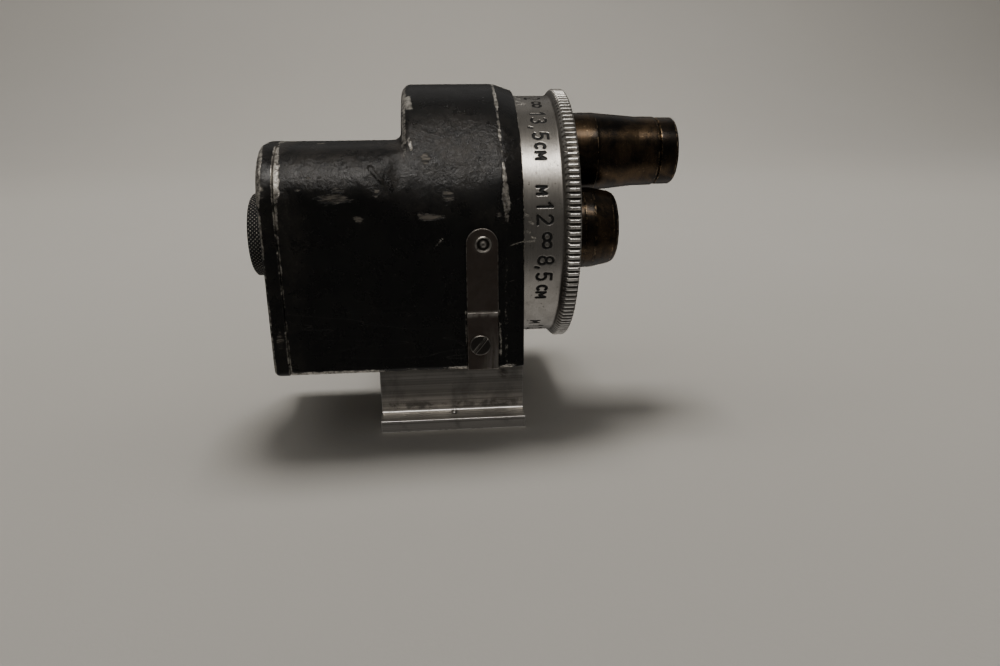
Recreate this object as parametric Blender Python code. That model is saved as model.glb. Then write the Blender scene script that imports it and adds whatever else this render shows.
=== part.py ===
"""Universal turret viewfinder: five objectives on a click-stop turret in front
of a roof prism housing, with a focusing eyepiece and an accessory-shoe foot.

Frame: origin at the centre of the foot's underside, +X towards the scene being
viewed, +Y towards the turret side, +Z up.  Dimensions below are millimetres.
"""
import bpy
import bmesh
from math import sin, cos, asin, pi, radians, degrees
from mathutils import Matrix, Vector

MM = 0.001

# Sides of turned pieces by widest radius: (radius below, sides).  Mates share them.
FACETS = ((2.0, 10), (7.0, 18), (float("inf"), 44))

# ---------------------------------------------------------------- shared dimensions
AXIS_Z = 28.0            # height of the optical axis and of the turret axis
OPTICAL_AXIS = (0, AXIS_Z)
TURRET_Y = 10.8          # turret axis, off the optical axis (Y = 0)
TURRET_AXIS = (TURRET_Y, AXIS_Z)
LENS_CIRCLE_R = TURRET_Y     # puts the active objective on the optical axis
LENS_COUNT = 5
LENS_STEP = 360.0 / LENS_COUNT

BOX_HALF = 9.5           # housing box: half width
BOX_Z0 = 9.5             # underside
BOX_Z1 = 40.9            # top
BOX_X0 = -22.8           # seam to the rear cover
TOP_CORNER_R = 7.6
BOTTOM_CORNER_R = 0.8

FRONT_X = 10.4           # front plane of the housing
RIDGE_X = 7.55           # where the front chamfer starts
DRUM_R = 20.3            # drum round the turret
DRUM_FRONT_R = 19.3
DRUM_X0 = -6.15          # outside of the drum's rear wall
DRUM_WALL = 1.7
BORE_R = 18.65           # turret bore in the drum

COVER_X0 = -25.15        # outside of the rear cover
COVER_X1 = BOX_X0 - 0.05     # its front, with a small gap to the box

RING_R = 18.5            # scale band of the turret ring
PLATE_X0, PLATE_X1, PLATE_R = 15.2, 17.9, 17.3
SEAT_X = PLATE_X1 + 0.06     # back of the objectives' shoulders

NOTCH_X = 4.55           # click notches and click pin
CLICK_AT = (NOTCH_X, AXIS_Z)
STRIP_X, STRIP_W, STRIP_T = 4.4, 4.4, 0.4     # click spring: centre, width, thickness
STRIP_Z0 = 9.55
STRIP_X0, STRIP_X1 = STRIP_X - STRIP_W / 2, STRIP_X + STRIP_W / 2

# Screw places, as the two coordinates across the screw's axis
COVER_SCREWS = [(-7.0, 12.0), (7.0, 12.0), (4.0, 38.0), (-4.0, 38.0)]        # Y, Z
FOOT_SCREWS = [(7.0, -3.0), (7.0, 3.0), (-7.0, 3.0), (-7.0, -3.0)]           # X, Y
BRACKET_SCREWS = [(-6.3, 30.0), (6.3, 30.0)]                                 # Y, Z
SPRING_SCREW = (4.0, 13.4)                                                   # X, Z
AXLE_SCREW_R = 3.6
AXLE_SCREWS = [(TURRET_Y + AXLE_SCREW_R * cos(radians(angle)),
                AXIS_Z + AXLE_SCREW_R * sin(radians(angle))) for angle in (90, 210, 330)]

# ---------------------------------------------------------------- materials
# finish: (base colour, roughness, metallic)
FINISHES = {
    "enamel":  ((0.012, 0.012, 0.013), 0.32, 0.0),
    "nickel":  ((0.62, 0.60, 0.56), 0.33, 1.0),
    "steel":   ((0.50, 0.49, 0.47), 0.36, 1.0),
    "spring":  ((0.14, 0.13, 0.12), 0.42, 1.0),
    "lacquer": ((0.030, 0.022, 0.016), 0.30, 0.0),
    "black":   ((0.015, 0.015, 0.016), 0.45, 0.0),
    "brass":   ((0.55, 0.40, 0.19), 0.35, 1.0),
    "alloy":   ((0.45, 0.45, 0.46), 0.45, 1.0),
    "glass":   ((0.80, 0.86, 0.90), 0.03, 0.0),
}
GLASS_TRANSMISSION = 0.9


def material(piece, finish):
    colour, roughness, metallic = FINISHES[finish]
    mat = bpy.data.materials.new(piece + "_mat")
    mat.use_nodes = True
    inputs = mat.node_tree.nodes["Principled BSDF"].inputs
    inputs["Base Color"].default_value = (*colour, 1.0)
    inputs["Roughness"].default_value = roughness
    inputs["Metallic"].default_value = metallic
    if finish == "glass":
        inputs["Transmission Weight"].default_value = GLASS_TRANSMISSION
    return mat


# ---------------------------------------------------------------- solids
def clear_scene():
    for ob in list(bpy.data.objects):
        bpy.data.objects.remove(ob, do_unlink=True)


def new_object(name, verts, faces, finish=None, sharp_angle=35.0):
    """Closed mesh in millimetres, placed in metres, faces turned outwards."""
    mesh = bpy.data.meshes.new(name)
    mesh.from_pydata([Vector(v) * MM for v in verts], [], faces)
    bm = bmesh.new()
    bm.from_mesh(mesh)
    bmesh.ops.remove_doubles(bm, verts=bm.verts, dist=1e-7)
    bmesh.ops.recalc_face_normals(bm, faces=bm.faces)
    if bm.calc_volume(signed=True) < 0:
        bmesh.ops.reverse_faces(bm, faces=bm.faces)
    bm.to_mesh(mesh)
    bm.free()
    mesh.shade_smooth()
    mesh.set_sharp_from_angle(angle=radians(sharp_angle))
    ob = bpy.data.objects.new(name, mesh)
    bpy.context.collection.objects.link(ob)
    if finish:
        mesh.materials.append(material(name, finish))
    return ob


def along(axis, position, across):
    """Point at a position on an axis; across holds the other two coordinates in order."""
    u, v = across
    return {"X": (position, u, v), "Y": (u, position, v), "Z": (u, v, position)}[axis]


def turned(name, profile, at, finish=None, axis="X", twist=0.0):
    """Solid of revolution.  profile: closed loop of (position along axis, radius).
    at: the axis' place across itself.  twist: turn of the facets, in facets."""
    widest = max(radius for _, radius in profile)
    sides = next(count for limit, count in FACETS if widest < limit)
    verts, rings = [], []
    for position, radius in profile:
        start = len(verts)
        if radius < 1e-6:
            rings.append([start])
            verts.append(along(axis, position, at))
            continue
        rings.append(list(range(start, start + sides)))
        for k in range(sides):
            angle = 2 * pi * (k + twist) / sides
            across = (at[0] + radius * cos(angle), at[1] + radius * sin(angle))
            verts.append(along(axis, position, across))
    faces = []
    for i, ring in enumerate(rings):
        following = rings[(i + 1) % len(rings)]
        if len(ring) == 1 and len(following) == 1:
            continue
        for k in range(sides):
            k1 = (k + 1) % sides
            if len(ring) == 1:
                faces.append((ring[0], following[k], following[k1]))
            elif len(following) == 1:
                faces.append((ring[k1], ring[k], following[0]))
            else:
                faces.append((ring[k], following[k], following[k1], ring[k1]))
    return new_object(name, verts, faces, finish)


def cylinder(name, lo, hi, radius, at, finish=None, axis="X", bore=0.0, twist=0.0):
    profile = [(lo, bore), (lo, radius), (hi, radius), (hi, bore)]
    return turned(name, profile, at, finish, axis, twist)


def hole_set(name, stations, radii, places, axis="X"):
    """Numbered drill tools; each radius holds from one station to the next."""
    profile = [(stations[0], 0)]
    for i, radius in enumerate(radii):
        profile += [(stations[i], radius), (stations[i + 1], radius)]
    profile.append((stations[-1], 0))
    return [turned(f"{name}_{number}", profile, at, axis=axis)
            for number, at in enumerate(places, 1)]


def loft(name, sections, finish=None):
    """Closed solid through loops of equal length, capped at both ends."""
    n = len(sections[0])
    last = (len(sections) - 1) * n
    verts = [point for loop in sections for point in loop]
    faces = [tuple(range(n)), tuple(range(last, last + n))]
    for start in range(0, last, n):
        for k in range(n):
            k1 = (k + 1) % n
            faces.append((start + k, start + k1, start + n + k1, start + n + k))
    return new_object(name, verts, faces, finish)


def extrusion(name, outline, lo, hi, finish=None, axis="X"):
    """Straight extrusion of an outline given in the two other coordinates."""
    ends = [[along(axis, position, point) for point in outline] for position in (lo, hi)]
    return loft(name, ends, finish)


def box(name, lo, hi, finish=None):
    outline = [(lo[1], lo[2]), (hi[1], lo[2]), (hi[1], hi[2]), (lo[1], hi[2])]
    return extrusion(name, outline, lo[0], hi[0], finish)


def combine(target, tools, operation="DIFFERENCE"):
    for tool in tools:
        mod = target.modifiers.new(operation.lower() + "_" + tool.name, "BOOLEAN")
        mod.operation = operation
        mod.solver = "EXACT"
        mod.object = tool
        tool.hide_render = True
        tool.display_type = "WIRE"


def carry_on_pivot(name, location, pieces):
    """Add an empty and give each piece that empty as its origin and parent."""
    empty = bpy.data.objects.new(name, None)
    empty.empty_display_size = 3 * MM
    empty.location = [coordinate * MM for coordinate in location]
    bpy.context.collection.objects.link(empty)
    for piece in pieces:
        piece.data.transform(Matrix.Translation(-empty.location))
        piece.parent = empty


def slotted_screw(name, at, head, head_r, shank_end, shank_r, slot_angle,
                  slot_width=0.36, slot_depth=0.35, axis="X"):
    """Steel screw.  head: (outer face, seat) along the axis; the outer face is slotted."""
    face, seat = head
    outward = -1 if face < seat else 1
    bevel = 0.15
    screw = turned(name, [
        (face, 0), (face, head_r - bevel), (face - bevel * outward, head_r), (seat, head_r),
        (seat, shank_r), (shank_end, shank_r), (shank_end, 0)], at, "steel", axis)
    c, s = cos(radians(slot_angle)), sin(radians(slot_angle))
    half_length, half_width = head_r + 0.4, slot_width / 2
    slot = [(at[0] + end * half_length * c + side * half_width * s,
             at[1] + end * half_length * s - side * half_width * c)
            for end, side in ((1, 1), (1, -1), (-1, -1), (-1, 1))]
    combine(screw, [extrusion("cut_" + name, slot, face - slot_depth * outward,
                              face + 0.3 * outward, axis=axis)])
    return screw


def screw_set(name, places, first_angle, angle_step, **shape):
    """Numbered screws, each slot turned a step further than the last."""
    return [slotted_screw(f"{name}_{i + 1}", at, slot_angle=first_angle + angle_step * i, **shape)
            for i, at in enumerate(places)]


# ---------------------------------------------------------------- outlines and places
def arc(centre_u, centre_v, radius, start, end, steps):
    angles = [radians(start + (end - start) * k / steps) for k in range(steps + 1)]
    return [(centre_u + radius * cos(t), centre_v + radius * sin(t)) for t in angles]


def bottom_corner_r(inset):
    return max(BOTTOM_CORNER_R - inset * 0.3, 0.3)


def box_outline(inset):
    """Housing section in Y, Z: flat sides, round top corners, small bottom corners."""
    half, bottom, top_r = BOX_HALF - inset, BOX_Z0 + inset, TOP_CORNER_R - inset
    low_r = bottom_corner_r(inset)
    top_centre_z = BOX_Z1 - inset - top_r
    return (arc(half - low_r, bottom + low_r, low_r, -90, 0, 3)
            + arc(half - top_r, top_centre_z, top_r, 0, 90, 6)
            + arc(-half + top_r, top_centre_z, top_r, 90, 180, 6)
            + arc(-half + low_r, bottom + low_r, low_r, 180, 270, 3))


def drum_outline(radius, inset):
    """Drum section in Y, Z: a circle, squared off at the bottom of its -Y side."""
    half, bottom = BOX_HALF - inset, BOX_Z0 + inset
    low_r = bottom_corner_r(inset)
    end = -180.0 + degrees(asin((AXIS_Z - bottom) / radius))
    return ([(-half, AXIS_Z - 0.02)]
            + arc(TURRET_Y, AXIS_Z, radius, 180, end, 50)
            + arc(-half + low_r, bottom + low_r, low_r, 270, 180, 3))


def at_x(x, outline):
    return [(x, y, z) for y, z in outline]


def turret_spot(step, radius=LENS_CIRCLE_R):
    """Place (Y, Z) on the turret, in objective steps from the active place, upwards first."""
    angle = radians(180.0 - LENS_STEP * step)
    return (TURRET_Y + radius * cos(angle), AXIS_Z + radius * sin(angle))


# ---------------------------------------------------------------- housing
# Half of the cavity's section is mirrored in Y.
CAVITY_OUTLINE = [(-4.4, 11.1), (4.4, 11.1), (7.9, 14.6), (7.9, 31.6),
                  (5.5, 35.5), (-5.5, 35.5), (-7.9, 31.6), (-7.9, 14.6)]     # Y, Z


def build_housing():
    # (x, drum radius, inset of the squared side)
    stations = ((DRUM_X0, DRUM_R - 1.5, 0), (DRUM_X0 + 0.44, DRUM_R - 0.44, 0),
                (DRUM_X0 + 1.5, DRUM_R, 0), (RIDGE_X, DRUM_R, 0),
                (FRONT_X, DRUM_FRONT_R, DRUM_R - DRUM_FRONT_R))
    housing = loft("housing", [at_x(x, drum_outline(radius, inset))
                               for x, radius, inset in stations], "enamel")
    rear_box = extrusion("tool_rear_box", box_outline(0), BOX_X0, DRUM_X0 + 0.9)
    combine(housing, [rear_box], "UNION")

    wall_x1 = DRUM_X0 + DRUM_WALL
    combine(housing, [
        cylinder("cut_bore", wall_x1, FRONT_X + 2, BORE_R, TURRET_AXIS, twist=0.5),
        extrusion("cut_cavity", CAVITY_OUTLINE, BOX_X0 - 1, DRUM_X0),
        box("cut_window", (DRUM_X0 - 1, -5.0, 13.0), (wall_x1 + 1, 5.0, 33.0)),
        cylinder("cut_pin_hole", -12, -6.5, 0.95, CLICK_AT, axis="Y"),
        box("cut_channel", (STRIP_X0 - 0.1, -12, STRIP_Z0 - 2),
            (STRIP_X1 + 0.1, -BOX_HALF + 0.3, 18.3)),
        cylinder("cut_spring_hole", -12, -5.6, 0.9, SPRING_SCREW, axis="Y"),
        *hole_set("cut_cover_tap", (BOX_X0 - 1, BOX_X0 + 4.2), (0.75,), COVER_SCREWS),
        *hole_set("cut_foot_tap", (BOX_Z0 - 3, 10.75), (0.95,), FOOT_SCREWS, "Z"),
        *hole_set("cut_bracket_tap", (DRUM_X0 - 1, DRUM_X0 + 3), (0.65,), BRACKET_SCREWS),
        *hole_set("cut_axle_tap", (DRUM_X0 + 0.5, DRUM_X0 + 3), (0.5,), AXLE_SCREWS),
    ])


def build_rear_cover():
    # (x, inset of the box outline), front to back
    stations = ((COVER_X1, 0.25), (COVER_X1 - 0.3, -0.05), (COVER_X0 + 0.8, -0.05),
                (COVER_X0 + 0.25, 0.22), (COVER_X0, 0.8))
    cover = loft("rear_cover", [at_x(x, box_outline(inset)) for x, inset in stations], "enamel")
    combine(cover, [
        cylinder("cut_eye_hole", -30, -20, 4.75, OPTICAL_AXIS),
        *hole_set("cut_cover_hole", (COVER_X0 - 1, COVER_X0 + 0.9, -20), (1.35, 0.8),
                  COVER_SCREWS),
    ])
    screw_set("rear_cover_screw", COVER_SCREWS, 25.0, 47.0,
              head=(COVER_X0 + 0.05, COVER_X0 + 0.82), head_r=1.25,
              shank_end=BOX_X0 + 4.0, shank_r=0.7)


# ---------------------------------------------------------------- eyepiece
EYE_R = 5.8
EYE_X0, EYE_X1 = -27.75, -25.2
EYE_PIVOT_X = -26.5
KEY_AT = (-22.42, 0)     # X, Y of the upright key under the optical axis


def build_eyepiece():
    tube = turned("eyepiece_tube", [
        (-26.95, 4.0), (-26.95, 4.68), (COVER_X1 + 0.1, 4.68), (COVER_X1 + 0.1, 6.2),
        (-22.0, 6.2), (-22.0, 4.0)], OPTICAL_AXIS, "black")
    combine(tube, [cylinder("cut_key_hole", AXIS_Z - 6.5, AXIS_Z - 3, 0.3, KEY_AT, axis="Z")])
    cylinder("eyepiece_key", AXIS_Z - 6.1, AXIS_Z - 3.45, 0.25, KEY_AT, "steel", "Z")

    ring = turned("eyepiece_ring", [
        (EYE_X0, 3.4), (EYE_X0, EYE_R - 0.45), (EYE_X0 + 0.4, EYE_R), (EYE_X1 - 0.2, EYE_R),
        (EYE_X1, EYE_R - 0.2), (EYE_X1, 4.78), (-27.05, 4.78), (-27.05, 3.4)],
        OPTICAL_AXIS, "black")
    cell = turned("eyepiece_cell", [
        (-26.0, 2.8), (-26.0, 3.93), (-22.9, 3.93), (-22.9, 3.2), (-25.65, 3.2), (-25.65, 2.8)],
        OPTICAL_AXIS, "black")
    combine(cell, [box("cut_key_slot", (-24.0, -0.4, AXIS_Z - 4.5), (-21.5, 0.4, AXIS_Z - 2.5))])
    lens = turned("eye_lens", [
        (-25.35, 0), (-25.5, 1.6), (-25.6, 3.1), (-24.6, 3.1), (-24.15, 1.7), (-24.0, 0)],
        OPTICAL_AXIS, "glass")
    lens_ring = cylinder("eye_lens_ring", -24.2, -23.7, 3.14, OPTICAL_AXIS, "brass", bore=2.7)
    carry_on_pivot("eyepiece_axis", (EYE_PIVOT_X, 0.0, AXIS_Z), [ring, cell, lens, lens_ring])


# ---------------------------------------------------------------- prisms and their bracket
BEAM = 7.0               # beam section carried by the prisms
ENTRANCE_X = 3.0         # entrance face
SQRT_3 = 1.7320508
JOINT_GAP = 0.03


def prism(name, outline, roof_edge=None, ridge=()):
    """Glass block one beam wide, from a side outline of (distance behind the entrance,
    height over the axis).  The outline's roof_edge is replaced by a roof up to the ridge."""
    half, n = BEAM / 2, len(outline)
    verts = [(ENTRANCE_X - behind, y, AXIS_Z + height)
             for y in (-half, half) for behind, height in outline]
    verts += [(ENTRANCE_X - behind, 0, AXIS_Z + height) for behind, height in ridge]
    faces = [tuple(range(n)), tuple(range(n, 2 * n))]
    ridge0, ridge1 = 2 * n, 2 * n + 1
    for k in range(n):
        k1 = (k + 1) % n
        if k == roof_edge:
            faces += [(k, k1, ridge1, ridge0), (n + k, n + k1, ridge1, ridge0),
                      (k, n + k, ridge0), (k1, n + k1, ridge1)]
        else:
            faces.append((k, k1, n + k1, n + k))
    return new_object(name, verts, faces, "glass", sharp_angle=10)


def build_prisms():
    run, half = BEAM * SQRT_3, BEAM * 0.5     # run and half height of each 30 degree mirror
    low_front, low_back, low_height = 1.15 * BEAM, 2.314 * BEAM, -1.5 * BEAM
    # The joint meets the line from the entrance's foot to the front of the low edge.
    share = run / (run + low_front)
    joint, joint_height = low_front * share, -half - (1.5 * BEAM - half) * share
    prism("prism_entrance", [(0, -half), (0, half), (run - 0.05, -half + 0.03),
                             (joint - 0.02, joint_height + JOINT_GAP)])
    ridge_height = low_height - BEAM / 2
    prism("prism_roof", [(joint + 0.03, joint_height - JOINT_GAP), (run + 0.05, -half),
                         (2 * run, half), (2 * run, -half),
                         (low_back, low_height), (low_front, low_height)],
          roof_edge=4, ridge=((low_back - 0.9, ridge_height), (low_front + 0.9, ridge_height)))


BRACKET_SIDE = [(4.4, 21.6), (4.4, 31.6), (-20.2, 30.4), (-20.2, 23.5),
                (-14.0, 18.6), (-4.6, 18.6), (-2.0, 21.6)]                   # X, Z
CLIP_SIDE = [(-10.7, 31.75), (-10.7, 32.15), (-7.5, 32.15), (-7.5, 31.75),
             (-8.75, 31.75), (-8.75, 25.0), (-9.5, 25.0), (-9.5, 31.75)]     # X, Z


def build_bracket():
    bracket = extrusion("prism_bracket", BRACKET_SIDE, -4.5, 4.5, "alloy", "Y")
    combine(bracket, [
        box("cut_bracket_inner", (-30.0, -3.62, 10.0), (3.2, 3.62, 40.0)),
        box("cut_bracket_light", (2.0, -2.9, 25.3), (6.0, 2.9, 30.7)),
    ])
    combine(bracket, [
        box("tool_ear_l", (-7.45, -7.6, 24.0), (-6.25, -3.9, 32.2)),
        box("tool_ear_r", (-7.45, 3.9, 24.0), (-6.25, 7.6, 32.2)),
    ], "UNION")
    combine(bracket, hole_set("cut_ear_hole", (-9, -5), (0.7,), BRACKET_SCREWS))
    screw_set("bracket_screw", BRACKET_SCREWS, 40.0, 70.0, head=(-8.35, -7.5), head_r=1.1,
              shank_end=-4.75, shank_r=0.6, slot_width=0.3, slot_depth=0.3)
    extrusion("prism_clip", CLIP_SIDE, -3.3, 3.3, "spring", "Y")


def build_field_mask():
    mask = box("field_mask", (4.45, -3.9, 24.7), (4.75, 3.9, 31.3), "black")
    combine(mask, [box("cut_mask_window", (4, -2.4, AXIS_Z - 1.6), (6, 2.4, AXIS_Z + 1.6))])


# ---------------------------------------------------------------- accessory foot
FOOT_L, FOOT_W, FOOT_T = 20.9, 18.6, 1.8      # foot plate
FOOT_EDGE = 0.1                               # chamfer under its long edges
NECK_W, NECK_Z1 = 12.3, 9.45
BALL_AT, BALL_Z, BALL_R = (0.1, -6.9), 1.62, 0.38


def build_foot():
    half, neck = FOOT_W / 2, NECK_W / 2
    outline = [(-half + FOOT_EDGE, 0), (half - FOOT_EDGE, 0), (half, FOOT_EDGE), (half, FOOT_T),
               (neck, FOOT_T), (neck, NECK_Z1), (-neck, NECK_Z1), (-neck, FOOT_T),
               (-half, FOOT_T), (-half, FOOT_EDGE)]
    foot = extrusion("accessory_foot", outline, -FOOT_L / 2, FOOT_L / 2, "steel")
    combine(foot, [
        cylinder("cut_saddle", DRUM_X0 - 0.1, FRONT_X + 3, DRUM_R + 0.06, TURRET_AXIS, twist=0.5),
        *hole_set("cut_foot_hole", (-1, 6.5, 12), (1.9, 1.0), FOOT_SCREWS, "Z"),
        cylinder("cut_ball_seat", 1.2, 3, 0.42, BALL_AT, axis="Z"),
    ])
    screw_set("foot_screw", FOOT_SCREWS, 15.0, 38.0, head=(5.2, 6.45), head_r=1.75,
              shank_end=10.65, shank_r=0.88, slot_width=0.45, slot_depth=0.5, axis="Z")
    turned("foot_ball", [(BALL_Z - BALL_R * cos(radians(t)), BALL_R * sin(radians(t)))
                         for t in range(0, 181, 30)], BALL_AT, "steel", "Z")


# ---------------------------------------------------------------- click spring
BEND_Z = 18.0
CLAMP_Y = -BOX_HALF + 0.25               # inner face of the clamped end
CLAMP_OUT_Y = CLAMP_Y - STRIP_T          # its outer face
ARM_Y = CLAMP_Y - 0.4                    # inner face of the arm, stepped outwards
ARM_OUT_Y = ARM_Y - STRIP_T
HINGE = (STRIP_X, -9.85, 18.38)
PIN_R = 0.8


def build_click_spring():
    base_side = [(CLAMP_Y, STRIP_Z0), (CLAMP_Y, BEND_Z - 0.35), (ARM_Y, BEND_Z + 0.3),
                 (ARM_OUT_Y, BEND_Z + 0.3), (CLAMP_OUT_Y, BEND_Z - 0.25),
                 (CLAMP_OUT_Y, STRIP_Z0)]
    base = extrusion("click_spring_base", base_side, STRIP_X0, STRIP_X1, "spring")
    combine(base, [cylinder("cut_spring_base_hole", -12, -5, 0.95, SPRING_SCREW, axis="Y")])
    slotted_screw("click_spring_screw", SPRING_SCREW, (CLAMP_OUT_Y - 0.42, CLAMP_OUT_Y - 0.03),
                  head_r=1.5, shank_end=-5.9, shank_r=0.85, slot_angle=51.0,
                  slot_width=0.4, slot_depth=0.25, axis="Y")

    arm_z0 = BEND_Z + 0.36
    arm_outline = [(STRIP_X0, arm_z0), *arc(STRIP_X, AXIS_Z, STRIP_W / 2, 180, 0, 12),
                   (STRIP_X1, arm_z0)]
    arm = extrusion("click_spring_arm", arm_outline, ARM_OUT_Y, ARM_Y, "spring", "Y")
    combine(arm, [cylinder("cut_arm_hole", -12, -5, 0.85, CLICK_AT, axis="Y")])

    ring_y = TURRET_Y - RING_R
    pin = turned("click_pin", [
        (ARM_OUT_Y - 0.16, 0), (ARM_OUT_Y - 0.12, 0.62), (ARM_OUT_Y - 0.2, 0.85),
        (ARM_OUT_Y - 0.2, 1.02), (ARM_OUT_Y - 0.03, 1.15), (ARM_OUT_Y - 0.03, PIN_R),
        (ring_y - 0.35, PIN_R), (ring_y - 0.05, 0.45), (ring_y - 0.05, 0)],
        CLICK_AT, "steel", "Y")
    carry_on_pivot("click_hinge", HINGE, [arm, pin])


# ---------------------------------------------------------------- turret
def build_axle():
    axle = turned("turret_axle", [
        (-4.4, 0), (-4.4, 4.6), (-3.4, 4.6), (-3.4, 2.6), (8.9, 2.6), (8.9, 2.0),
        (17.85, 2.0), (17.85, 0.95), (13.0, 0.95), (13.0, 0)], TURRET_AXIS, "steel")
    combine(axle, hole_set("cut_axle_hole", (-6, -2), (0.55,), AXLE_SCREWS))
    screw_set("axle_flange_screw", AXLE_SCREWS, 0.0, 30.0, head=(-2.7, -3.35), head_r=0.9,
              shank_end=-5.5, shank_r=0.45, slot_width=0.25, slot_depth=0.25)
    cylinder("turret_washer", 17.97, 18.12, 3.2, TURRET_AXIS, "steel", bore=1.1)
    slotted_screw("turret_screw", TURRET_AXIS, (19.15, 18.17), head_r=2.7, shank_end=13.2,
                  shank_r=0.9, slot_angle=20.0, slot_width=0.55, slot_depth=0.5)


RING_X0, RING_BORE = 0.5, 17.2
KNURL_X0, KNURL_X1, KNURL_R = 16.45, 18.45, 19.5     # flange at the ring's front
NOTCH_SIDES = 8


def notch_tool(number, step):
    """Cone pointing at the turret axis."""
    angle = radians(180.0 - LENS_STEP * step)
    c, s = cos(angle), sin(angle)
    turns = [2 * pi * (k + 0.3) / NOTCH_SIDES for k in range(NOTCH_SIDES)]
    # (distance from the turret axis, cone radius)
    ends = ((RING_R + 1.0, 1.5), (RING_R - 0.75, 0.3))
    return loft(f"cut_notch_{number}", [
        [(NOTCH_X + radius * cos(t),
          TURRET_Y + distance * c - radius * sin(t) * s,
          AXIS_Z + distance * s + radius * sin(t) * c) for t in turns]
        for distance, radius in ends])


def build_ring():
    ring = turned("turret_ring", [
        (RING_X0, RING_BORE), (RING_X0, RING_R - 0.2), (RING_X0 + 0.2, RING_R),
        (KNURL_X0 - 0.35, RING_R), (KNURL_X0, KNURL_R - 0.3), (KNURL_X0 + 0.3, KNURL_R),
        (KNURL_X1 - 0.3, KNURL_R), (KNURL_X1, KNURL_R - 0.35), (KNURL_X1, 17.35),
        (15.1, 17.35), (15.1, 16.3), (13.9, 16.3), (13.9, RING_BORE)],
        TURRET_AXIS, "nickel", twist=0.13)
    combine(ring, [notch_tool(step + 1, step) for step in range(LENS_COUNT)])
    return [ring]


def build_plate():
    plate = turned("turret_plate", [
        (PLATE_X0, 4.2), (PLATE_X0, PLATE_R), (PLATE_X1 - 0.2, PLATE_R),
        (PLATE_X1, PLATE_R - 0.2), (PLATE_X1, 2.06), (9.0, 2.06), (9.0, 4.2)],
        TURRET_AXIS, "nickel")
    lens_spots = [turret_spot(step) for step in range(LENS_COUNT)]
    screw_spots = [turret_spot(step, 14.6) for step in (0.5, 2.5, 3.5)]
    combine(plate, hole_set("cut_cell_hole", (12, 20), (4.46,), lens_spots)
            + hole_set("cut_plate_hole", (12, PLATE_X1 - 0.6, 20), (0.65, 1.15), screw_spots))
    return [plate, *screw_set(
        "plate_screw", screw_spots, 35.0, 50.0, head=(PLATE_X1 - 0.02, PLATE_X1 - 0.55),
        head_r=1.08, shank_end=PLATE_X0 + 0.05, shank_r=0.55, slot_width=0.26, slot_depth=0.25)]


# ---------------------------------------------------------------- objectives
def build_objective_135():
    """13.5 cm objective: the long tube, one step above the active place."""
    at = turret_spot(1)
    return [
        turned("lens_tube_135", [
            (PLATE_X0 - 0.5, 3.9), (PLATE_X0 - 0.5, 4.4), (SEAT_X, 4.4), (SEAT_X, 5.85),
            (22.6, 5.85), (25.5, 5.55), (28.9, 5.2), (32.0, 5.15), (32.25, 4.95),
            (32.25, 4.58), (33.2, 4.58), (33.2, 4.1), (20.0, 4.1), (19.0, 3.9)], at, "lacquer"),
        turned("lens_rim_135", [
            (32.32, 4.64), (32.32, 4.9), (32.45, 5.02), (34.75, 5.02), (35.05, 4.7),
            (35.05, 3.9), (34.72, 3.9), (34.72, 4.64)], at, "lacquer"),
        turned("lens_135", [
            (33.1, 0), (33.25, 2.2), (33.45, 4.0), (33.45, 4.5), (34.6, 4.5),
            (34.68, 3.8), (34.95, 2.0), (35.02, 0)], at, "glass"),
    ]


def build_objective_85():
    """8.5 cm objective, in the active place."""
    at = turret_spot(0)
    return [
        turned("lens_tube_85", [
            (PLATE_X0 - 0.5, 3.8), (PLATE_X0 - 0.5, 4.4), (SEAT_X, 4.4), (SEAT_X, 5.9),
            (21.1, 5.9), (23.7, 5.35), (24.3, 5.05), (24.6, 4.6), (24.6, 4.0),
            (24.15, 4.0), (24.15, 4.4), (20.5, 4.4), (20.0, 3.8)], at, "lacquer"),
        turned("lens_85", [
            (22.6, 0), (22.75, 2.4), (23.0, 4.33), (23.85, 4.33), (24.12, 3.9),
            (24.45, 2.0), (24.55, 0)], at, "glass"),
        cylinder("lens_ring_85", 21.9, 22.5, 4.34, at, "black", bore=3.7),
    ]


# Short objectives: (name, step on the turret, front of the cell, middle of the lens)
FLUSH_CELLS = (("50", 4, 19.0, 17.2), ("35", 3, 18.7, 15.4), ("28", 2, 18.7, 14.4))


def build_flush_cell(tag, step, face_x, lens_x):
    """Short cell with a shoulder on the plate, its lens near or behind the plate's front."""
    at = turret_spot(step)
    return [
        turned("lens_cell_" + tag, [
            (lens_x - 1.9, 3.75), (lens_x - 1.9, 4.4), (SEAT_X, 4.4), (SEAT_X, 5.4),
            (face_x - 0.2, 5.4), (face_x, 5.2), (face_x, 4.1), (lens_x + 0.95, 3.5),
            (lens_x + 0.65, 3.5), (lens_x + 0.65, 3.75)], at, "black"),
        turned("lens_" + tag, [
            (lens_x - 0.85, 0), (lens_x - 0.7, 2.0), (lens_x - 0.45, 3.68),
            (lens_x + 0.35, 3.68), (lens_x + 0.6, 3.3), (lens_x + 0.85, 1.8),
            (lens_x + 0.95, 0)], at, "glass"),
        cylinder("lens_ring_" + tag, lens_x - 1.6, lens_x - 1.0, 3.7, at, "brass", bore=3.1),
    ]


def build_turret():
    """Everything that turns with the turret, on its pivot."""
    pieces = build_ring() + build_plate() + build_objective_135() + build_objective_85()
    for cell in FLUSH_CELLS:
        pieces += build_flush_cell(*cell)
    carry_on_pivot("turret_axis", (0.0, TURRET_Y, AXIS_Z), pieces)


clear_scene()
build_housing()
build_rear_cover()
build_eyepiece()
build_prisms()
build_bracket()
build_field_mask()
build_foot()
build_click_spring()
build_axle()
build_turret()
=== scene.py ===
import bpy
import bmesh
import numpy as np
from math import sin, cos, tan, pi, radians
from mathutils import Matrix, Vector


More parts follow.
